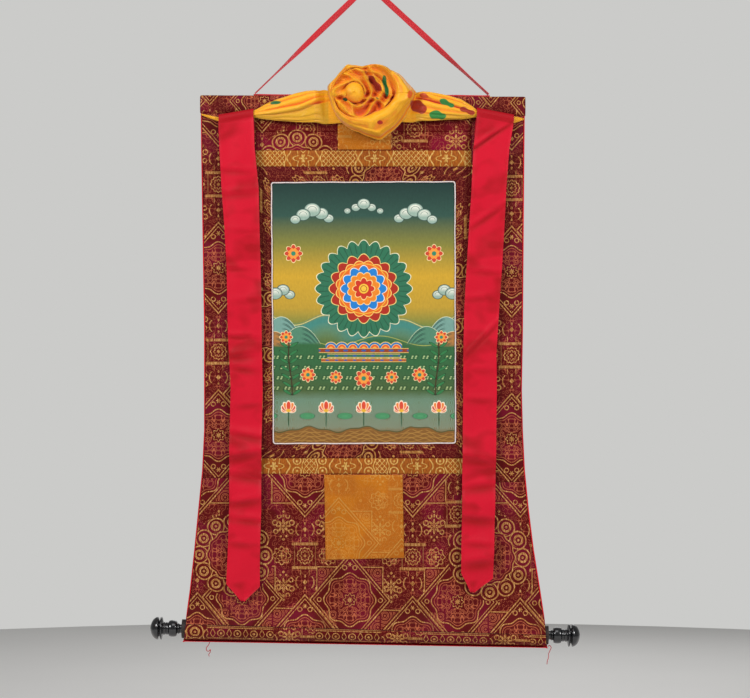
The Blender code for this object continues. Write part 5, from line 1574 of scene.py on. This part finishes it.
def ribbon(node, top, rows, creases):
    """Satin ribbon folded over the cover's arm: up behind it, over in a loop, then down in a long fall with a
    pointed end. Creases are troughs across it with a small ridge below; the face swells between them."""
    u = fine_steps(RIBBON_WIDTH, 2.6, (0.4, 1.2))
    top_x, top_down = share(u, (top[0][0], top[1][0])), share(u, (top[0][1], top[1][1]))
    tail = np.linspace(1, 0, 14)[:-1, None]
    tail_y = -(LOOP_MIDDLE - LOOP_HALF_DEPTH) + SATIN / 2
    lower = top_down + LOOP_HALF_HEIGHT + (TAIL_LENGTH - LOOP_HALF_HEIGHT) * tail
    lean = [(rows[edge][1] - top[index][0]) / (rows[edge + "_down"][1] - top[index][1])
            for index, edge in enumerate(("left", "right"))]
    back = np.stack([top_x + share(u, lean) * (lower - top_down), tail_y + 0 * lower, lower], axis=-1)
    turn = np.radians(np.linspace(0, 180, 21))[:, None]
    loop_y = -LOOP_MIDDLE + (LOOP_HALF_DEPTH + SATIN / 2) * np.cos(turn)
    loop_down = top_down + LOOP_HALF_HEIGHT - (LOOP_HALF_HEIGHT + SATIN / 2) * np.sin(turn)
    loop = np.stack([top_x + 0 * turn, loop_y + 0 * top_x, loop_down], axis=-1)
    first = (top[0][0], top[0][1] + LOOP_HALF_HEIGHT, top[1][0], top[1][1] + LOOP_HALF_HEIGHT, 14.4)
    marks = np.concatenate([[first[1]], rows["left_down"]])
    marks = np.concatenate([marks[:-1], marks[-2:-1] + 28.0])
    places = np.linspace(marks[0], marks[-1], 250)[1:]
    sizes = {}
    for label, start in zip(RIBBON_COLUMNS, first):
        values = np.concatenate([[start], rows[label]])
        curve = through(marks, values, places) if label == "stand" else np.interp(places, marks, values)
        sizes[label] = curve[:, None]
    across = share(u, (sizes["left"], sizes["right"]))
    down = share(u, (sizes["left_down"], sizes["right_down"]))
    swell = np.sin(places / 47.0)[:, None] * 0.9 * np.sin(math.pi * u)
    lower_folds = smooth_step((places - 640.0) / 90.0)[:, None] * np.sin(places[:, None] / 15.0 + 2.0 * u)
    stand = sizes["stand"] + swell + 0.9 * lower_folds
    shade = np.zeros_like(across)
    relief = 0.22 * np.sin(down / 5.3 + u * 4.0) * np.sin(down / 31.0 + 1.0)
    relief += 0.30 * np.sin(u * 9.0 + down / 90.0) + 0.25 * np.sin(u * 5.0 - down / 60.0 + 2.0)
    for at, middle, half, deep, high, slant in creases:
        off = down - at - slant * (u - 0.5)
        window = bump((u - middle) / (half * 0.8), 1.0)
        relief += deep * window * (1.5 * bump(off + high * 1.9, high * 1.7) - 1.3 * bump(off, high * 1.2))
        # Painted shade along each crease.
        shade += 0.9 * window * bump(off - high * 0.6, high * 1.7) * min(1.0, deep / 1.3)
    relief *= smooth_step((down - top[0][1] - 26.0) / 20.0)
    band_edge = bump(down - top_down - 15.5, 1.1)
    stand = stand + relief - 0.8 * band_edge + 0.8 * bump(np.minimum(u, 1 - u) * RIBBON_WIDTH, 2.0)
    front = np.stack([across, -stand + 0 * across, down], axis=-1)
    points = np.concatenate([back, loop, front])
    # Painted shade: the hidden back half dark, the loop over the arm darker, and on the fall the creases and
    # the band at the top.
    folded = np.concatenate([np.full(back.shape[:2], 0.5), np.full(loop.shape[:2], 0.75),
                             shade + 0.75 * smooth_step((top_down + 16.0 - down) / 1.5)])
    length = run_length(points[:, len(u) // 2])
    cloth = cloth_pair(length[:, None], (u * RIBBON_WIDTH)[None, :])
    obj = add_sheet(f"{node}_satin", points[:, ::-1], red_satin, 1.0, node=node, slot="satin",
                    cloth=cloth[:, ::-1], shade=np.clip(folded, 0, 1)[:, ::-1])
    long_ = length[-1] * MM
    flat_area(points) / long_


# Silk cover

ARM_COLUMNS = ("across", "top", "bottom", "depth")
ARM_BACK = 1.9
ARMS = {
    "cover_arm_left": table(ARM_COLUMNS, [
        (-276.0, 209.6, 212.0, 2.0), (-262.0, 212.2, 217.4, 4.0), (-247.0, 215.6, 222.6, 6.6),
        (-230.0, 213.4, 221.6, 8.6), (-210.0, 208.8, 219.4, 9.6), (-189.0, 204.4, 217.0, 10.0),
        (-184.0, 202.4, 217.8, 11.2), (-170.0, 194.8, 220.6, 13.6), (-151.0, 187.2, 224.6, 17.0),
        (-122.0, 177.4, 227.4, 21.0), (-102.0, 172.6, 228.2, 23.0), (-88.0, 171.6, 228.4, 21.0),
        (-80.0, 173.0, 228.4, 15.0), (-72.0, 174.6, 228.0, 10.0), (-44.0, 178.0, 226.0, 9.6),
        (-10.0, 182.0, 222.0, 9.6),
    ]),
    "cover_arm_right": table(ARM_COLUMNS, [
        (256.4, 217.4, 219.4, 2.0), (247.0, 215.0, 223.4, 5.0), (239.6, 214.0, 225.6, 7.0),
        (222.0, 212.2, 222.0, 8.6), (200.0, 207.6, 218.8, 9.6), (177.6, 203.0, 216.4, 10.0),
        (172.0, 198.6, 217.4, 12.0), (152.0, 186.6, 222.6, 16.0), (131.0, 180.6, 223.6, 19.0),
        (101.0, 174.2, 225.8, 22.0), (90.0, 173.4, 226.0, 21.0), (78.0, 175.0, 225.6, 14.0),
        (70.0, 176.6, 225.2, 10.0), (40.0, 180.0, 224.0, 9.6), (-9.0, 182.0, 222.0, 9.6),
    ]),
}
# Folds that run along an arm: turn on the section in degrees from the top at the thin end, the middle and the
# rosette's edge, half width in degrees, depth share and drop of all that lies below it
ARM_FOLDS = {
    "cover_arm_left": (
        (44, 38, 20, 4.5, 0.20, 0.0), (78, 70, 40, 4.5, 0.24, 0.0), (116, 99, 58, 5.0, 0.34, 0.26),
        (136, 132, 112, 5.0, 0.10, 0.0), (158, 154, 146, 5.0, 0.10, 0.0),
    ),
    "cover_arm_right": (
        (46, 34, 22, 4.5, 0.20, 0.0), (90, 64, 42, 5.0, 0.34, 0.24), (112, 96, 74, 5.0, 0.14, 0.0),
        (136, 124, 106, 5.0, 0.16, 0.06), (160, 154, 140, 5.0, 0.12, 0.0),
    ),
}


def cover_arm(node, sections):
    """One drawn-up arm of the silk cover: an open shell whose section is an oval, from behind at the top
    round the front to behind at the bottom, creased by folds that run along the arm and gather at its thin
    end."""
    sign = 1.0 if sections["across"][0] < 0 else -1.0
    marks = sections["across"] * sign
    places = np.linspace(marks[0], marks[-1], 150)
    size = {label: np.interp(places, marks, sections[label])[:, None] for label in ARM_COLUMNS}
    angle = np.radians(np.linspace(-62.0, 242.0, 110))[None, :]
    degrees = np.degrees(angle)
    thick_part = smooth_step((size["depth"] - 9.0) / 9.0)
    radius = np.ones_like(angle + size["depth"])
    shade = np.zeros_like(radius)
    drift = 2.5 * np.sin(places / 23.0)[:, None] + 1.5 * np.sin(places / 9.0 + 1.0)[:, None]
    strength = 0.35 + 0.65 * thick_part
    for thin_end, middle, near, wide, deep, drop in ARM_FOLDS[node]:
        at = through(np.array([-176.0, -120.0, -66.0]), np.array([thin_end, middle, near]), places)[:, None]
        off = degrees - at - drift
        radius -= deep * bump(off, wide) * strength + drop * smooth_step(off / 10.0 + 0.3) * strength
        radius += 0.35 * deep * bump(off + 2.4 * wide, 1.7 * wide) * strength
        # Painted shade along each fold.
        shade += 3.0 * deep * bump(off - 2.0, wide * 1.2) * strength
    radius += 0.30 * bump(places[:, None] + 71.0, 9.0) * bump(degrees - 8.0, 30.0) * (sign > 0)
    radius += 0.035 * np.sin(degrees / 6.5 + places[:, None] / 9.0) * thick_part
    radius += 0.05 * np.sin(degrees / 17.0 - places[:, None] / 21.0)
    half_deep, half_high = size["depth"] / 2, (size["bottom"] - size["top"]) / 2
    across = places[:, None] * sign + 0 * angle
    depth = -ARM_BACK - half_deep - half_deep * np.sin(angle) * radius
    down = (size["top"] + size["bottom"]) / 2 - half_high * np.cos(angle) * (0.5 + 0.5 * radius)
    points = np.stack([across, depth, down], axis=-1)
    round_ = np.linspace(0, 130.0, 110)
    cloth = cloth_pair(places[:, None] * sign, round_[None, :])
    obj = add_sheet(f"{node}_silk", points, yellow_silk, 0.6, node=node, slot="silk", cloth=cloth,
                    shade=np.clip(shade, 0, 1))
    long_ = abs(places[-1] - places[0]) * MM
    flat_area(points) / long_


ROSETTE_EYE = (-5.9, 180.0)
ROSETTE_BACK = 12.4
ROSETTE = table(("angle", "outline", "rim"), [
    (2, 82.6, 50.8), (16, 71.0, 52.6), (28, 67.0, 52.0), (46, 58.0, 49.6), (66, 51.6, 45.0), (80, 49.0, 43.8),
    (97, 46.0, 41.4), (112, 52.0, 46.0), (122, 57.4, 48.0), (136, 55.2, 49.0), (151, 55.4, 50.6),
    (166, 62.6, 52.1), (176, 60.4, 51.6), (190, 57.0, 50.8), (210, 57.2, 49.6), (236, 58.2, 45.0),
    (262, 60.0, 38.6), (278, 67.0, 36.2), (289, 74.6, 34.8), (300, 71.0, 34.2), (322, 71.4, 38.8),
    (342, 73.4, 44.5), (352, 78.6, 48.4),
])
COLLAR = table(("inward", "height"), [
    (-0.10, -0.5), (0.0, 4.0), (0.06, 14.0), (0.24, 25.0), (0.5, 32.0), (0.78, 34.0), (0.95, 30.0),
    (1.04, 20.0), (1.1, 9.0), (1.0, 2.0),
])
COLLAR_WIDE = 22.0
BUD = (-23.4, 178.5)
BUD_RADIUS = 15.0


def polar(angles, column):
    """A closed curve through the rosette's table, smoothed by a running mean of three fine steps."""
    values = np.interp(np.degrees(angles) % 360.0, ROSETTE["angle"], ROSETTE[column], period=360.0)
    for _ in range(2):
        values = (np.roll(values, 1) + values * 2 + np.roll(values, -1)) / 4
    return values


def collar():
    """Rolled outer wrap of the rosette: the collar's section carried round the eye, with long folds that run
    round it and drift from its rim to its outer edge."""
    angles = full_turn(220)
    outline, rim = polar(angles, "outline"), polar(angles, "rim")
    steps = run_length(np.stack([COLLAR["inward"] * 20.0, COLLAR["height"]], axis=1))
    places = np.linspace(0, steps[-1], 46)
    inward = through(steps, COLLAR["inward"], places)[:, None]
    height = through(steps, COLLAR["height"], places)[:, None]
    wide = np.clip((outline - rim) / COLLAR_WIDE, 0.35, 1.1)
    crest = np.sin(math.pi * np.clip(inward, 0, 1))
    wrap = places[:, None] / steps[-1] * 2 * math.pi
    folds = 1.5 * np.sin(2.6 * wrap + 1.5 * np.sin(angles + 0.7) + angles)
    folds += 0.8 * np.sin(5.2 * wrap - angles * 2.0 + 1.0) + 0.45 * np.sin(9.0 * wrap + angles * 3.0)
    around = np.degrees(angles)
    pleats = 1.0 - np.abs(np.sin(angles * 9.0 + 0.9 * inward)) ** 0.7
    folds += 3.6 * (pleats - 0.4) * (bump(around - 52.0, 34.0) + 0.6 * bump(around - 122.0, 24.0))
    folds += 2.4 * (bump(around - 289.0 + 14.0 * (1 - inward), 4.0) - 0.4 * bump(around - 300.0, 9.0))
    folds += 2.6 * (bump(around - 341.0 - 16.0 * (1 - inward), 4.5) - 0.5 * bump(around - 328.0, 8.0))
    folds += 2.6 * bump(around - 121.0, 4.5) - 1.2 * bump(around - 134.0, 7.0)
    folds += 1.8 * bump(around - 214.0 + 22.0 * inward, 4.0) - 1.2 * bump(around - 250.0 + 20.0 * inward, 5.0)
    lift = height * (0.72 + 0.28 * wide) + folds * crest * np.clip(wide, 0.4, 1.0)
    radius = outline + (rim - outline) * inward + folds * 0.35 * crest
    across = ROSETTE_EYE[0] + radius * np.cos(angles)
    down = ROSETTE_EYE[1] - radius * np.sin(angles)
    points = np.stack([across, -ROSETTE_BACK - lift, down], axis=-1)
    # Painted shade: towards the rim where the collar turns into the heart, in the valleys of its folds, and
    # along its outer edge.
    shade = 0.55 * smooth_step((inward - 0.86) / 0.25) + 0.22 * np.clip(-folds, 0, 2) * crest
    shade += 0.5 * bump(inward, 0.05)
    return points, np.clip(shade, 0, 1), angles


def crumple(across, down):
    """Crossing folds of bunched silk: sharp crests along three directions, each bent by slow waves."""
    bend = 4.0 * np.sin(across / 7.5 + 0.5) + 3.6 * np.sin(down / 6.2 + 1.2)

    def crest(value, sharp):
        """Narrow ridges of height 1, one for each half turn."""
        return np.clip(1.0 - np.sqrt(np.sin(value) ** 2 + 0.006), 0.0, 1.0) ** sharp

    away = np.hypot(across - BUD[0] + 2.0, down - BUD[1])
    swirl = np.arctan2(down - BUD[1], across - BUD[0])
    first = crest(away / 4.6 + swirl + bend / 7.0, 1.2)
    second = crest((-0.45 * across + 0.90 * down + 1.3 * bend) / 4.6 + 1.0, 1.2)
    third = crest((0.25 * across - down - bend) / 9.0 + 2.0, 1.0)
    return 9.0 * first + 4.0 * second + 5.0 * third


def ruffles():
    """Gathered heart of the rosette: a bowl under the collar's rim, filled by crossing crumpled folds that
    stand highest about the eye."""
    angle = np.linspace(0, 2 * math.pi, 281)[None, :]
    part = np.linspace(0.01, 1.0, 96)[:, None]
    rim = np.interp(np.degrees(angle) % 360.0, ROSETTE["angle"], ROSETTE["rim"], period=360.0)
    over = bump(np.degrees(angle) - 58.0, 30.0) + 0.7 * bump(np.degrees(angle) - 172.0, 12.0)
    radius = part * rim * (1.04 + 0.12 * over)
    across = ROSETTE_EYE[0] + radius * np.cos(angle)
    down = ROSETTE_EYE[1] - radius * np.sin(angle)
    fold_height = crumple(across, down)
    arc_part = bump(np.degrees(angle) - 42.0, 40.0) * smooth_step((part - 0.56) / 0.14)
    arcs = (1.0 - np.sqrt(np.sin(part * 13.0 + 0.4 * np.sin(angle * 3.0)) ** 2 + 0.004)) * 8.0
    fold_height = fold_height * (1.0 - arc_part) + arcs * arc_part
    sides = smooth_step((1.0 - part) / 0.22) * (1.0 - over) + over
    lift = 12.0 + 5.0 * np.cos(part * 1.4) + fold_height * (0.45 + 0.55 * sides) * 1.15 + 4.0 * part
    lift += 9.0 * over * smooth_step((part - 0.35) / 0.6)
    lift = np.minimum(lift, 36.5 + 0.15 * (lift - 36.5))
    push = 0.16 * fold_height * sides
    points = np.stack([across + push * 0.9, -ROSETTE_BACK - lift, down + push * 0.6], axis=-1)
    # Painted shade in the valleys between the folds, less on the arcs and on the left side, and more near the
    # rim.
    calm = bump(np.degrees(angle) - 150.0, 52.0)
    shade = np.clip(1.0 - fold_height / 10.0, 0, 1) * (0.95 - 0.55 * arc_part - 0.42 * calm)
    return points, np.clip(shade + 0.12 * (1 - sides), 0, 1)


def bud():
    """The one round bud among the ruffles: half an egg, a little uneven."""
    turn = full_turn(72)[:, None]
    rise = np.linspace(0.02, 0.62 * math.pi, 30)[None, :]
    pleat = 1.0 + 0.05 * np.cos(2 * turn + 2.0 * rise) + 0.03 * np.cos(3 * turn - 3.0 * rise)
    radius = (BUD_RADIUS + 2.5) * np.sin(rise) * pleat
    across = BUD[0] + radius * np.cos(turn)
    down = BUD[1] - radius * np.sin(turn) * 0.95
    depth = -ROSETTE_BACK - 24.0 - 15.0 * np.cos(rise) * (1 + 0.05 * np.cos(2 * turn + 2.0 * rise))
    points = np.stack([across, depth, down], axis=-1)
    points = np.concatenate([points, points[:1]])
    # Painted shade: darker towards the bud's base and on its lower left side.
    shade = np.clip((rise - 1.0) * 0.9, 0, 1) + 0.5 * np.sin(rise) * (0.5 + 0.5 * np.cos(turn - 4.0)) ** 1.5
    return points, np.concatenate([shade, shade[:1]])


def cover_rosette():
    """The knotted bunch of the cover: collar, ruffled heart and bud, one cloth in three sheets."""

    def bunch(name, points, shade, cloth, thick, wide, **facts):
        """One of the sheets, which would lie flat as its own area over the given width."""
        obj = add_sheet(name, points, yellow_silk, thick, node="cover_rosette", slot="silk", cloth=cloth,
                        shade=shade)
        flat_area(points) / wide

    points, shade, angles = collar()
    points = np.concatenate([points, points[:, :1]], axis=1)
    shade = np.concatenate([shade, shade[:, :1]], axis=1)
    turned = np.concatenate([angles, [2 * math.pi]])
    cloth = cloth_pair(turned[None, :] * 55.0, np.arange(len(points))[:, None] * 2.0)
    bunch("rosette_collar", points, shade, cloth, 0.7, 0.36, rests_on=["cover_arm_left", "cover_arm_right"])
    points, shade = ruffles()
    cloth = cloth_pair(run_length(points[-1])[None, :], np.arange(len(points))[:, None] * 1.9)
    bunch("rosette_ruffles", points, shade, cloth, 0.5, 0.12)
    points, shade = bud()
    bunch("rosette_bud", points, shade, cloth_pair(points[..., 0], points[..., 2]), 0.5, 0.05)


set_camera()
cords()
set_floor()
set_lights()
top_sleeve()
centre_column()
white_piping()
side_strip("left_side_strip", "side_left", edge_left, COLUMN_LEFT, SIDE_SEAM[0], True, left_brocade)
side_strip("right_side_strip", "side_right", edge_right, COLUMN_RIGHT, SIDE_SEAM[1], False, right_brocade)
bottom_panel()
lining()
knobs()
for ribbon_node, ribbon_sizes in RIBBONS.items():
    ribbon(ribbon_node, ribbon_sizes["top"], ribbon_sizes["rows"], ribbon_sizes["creases"])
for arm_node, arm_sections in ARMS.items():
    cover_arm(arm_node, arm_sections)
cover_rosette()
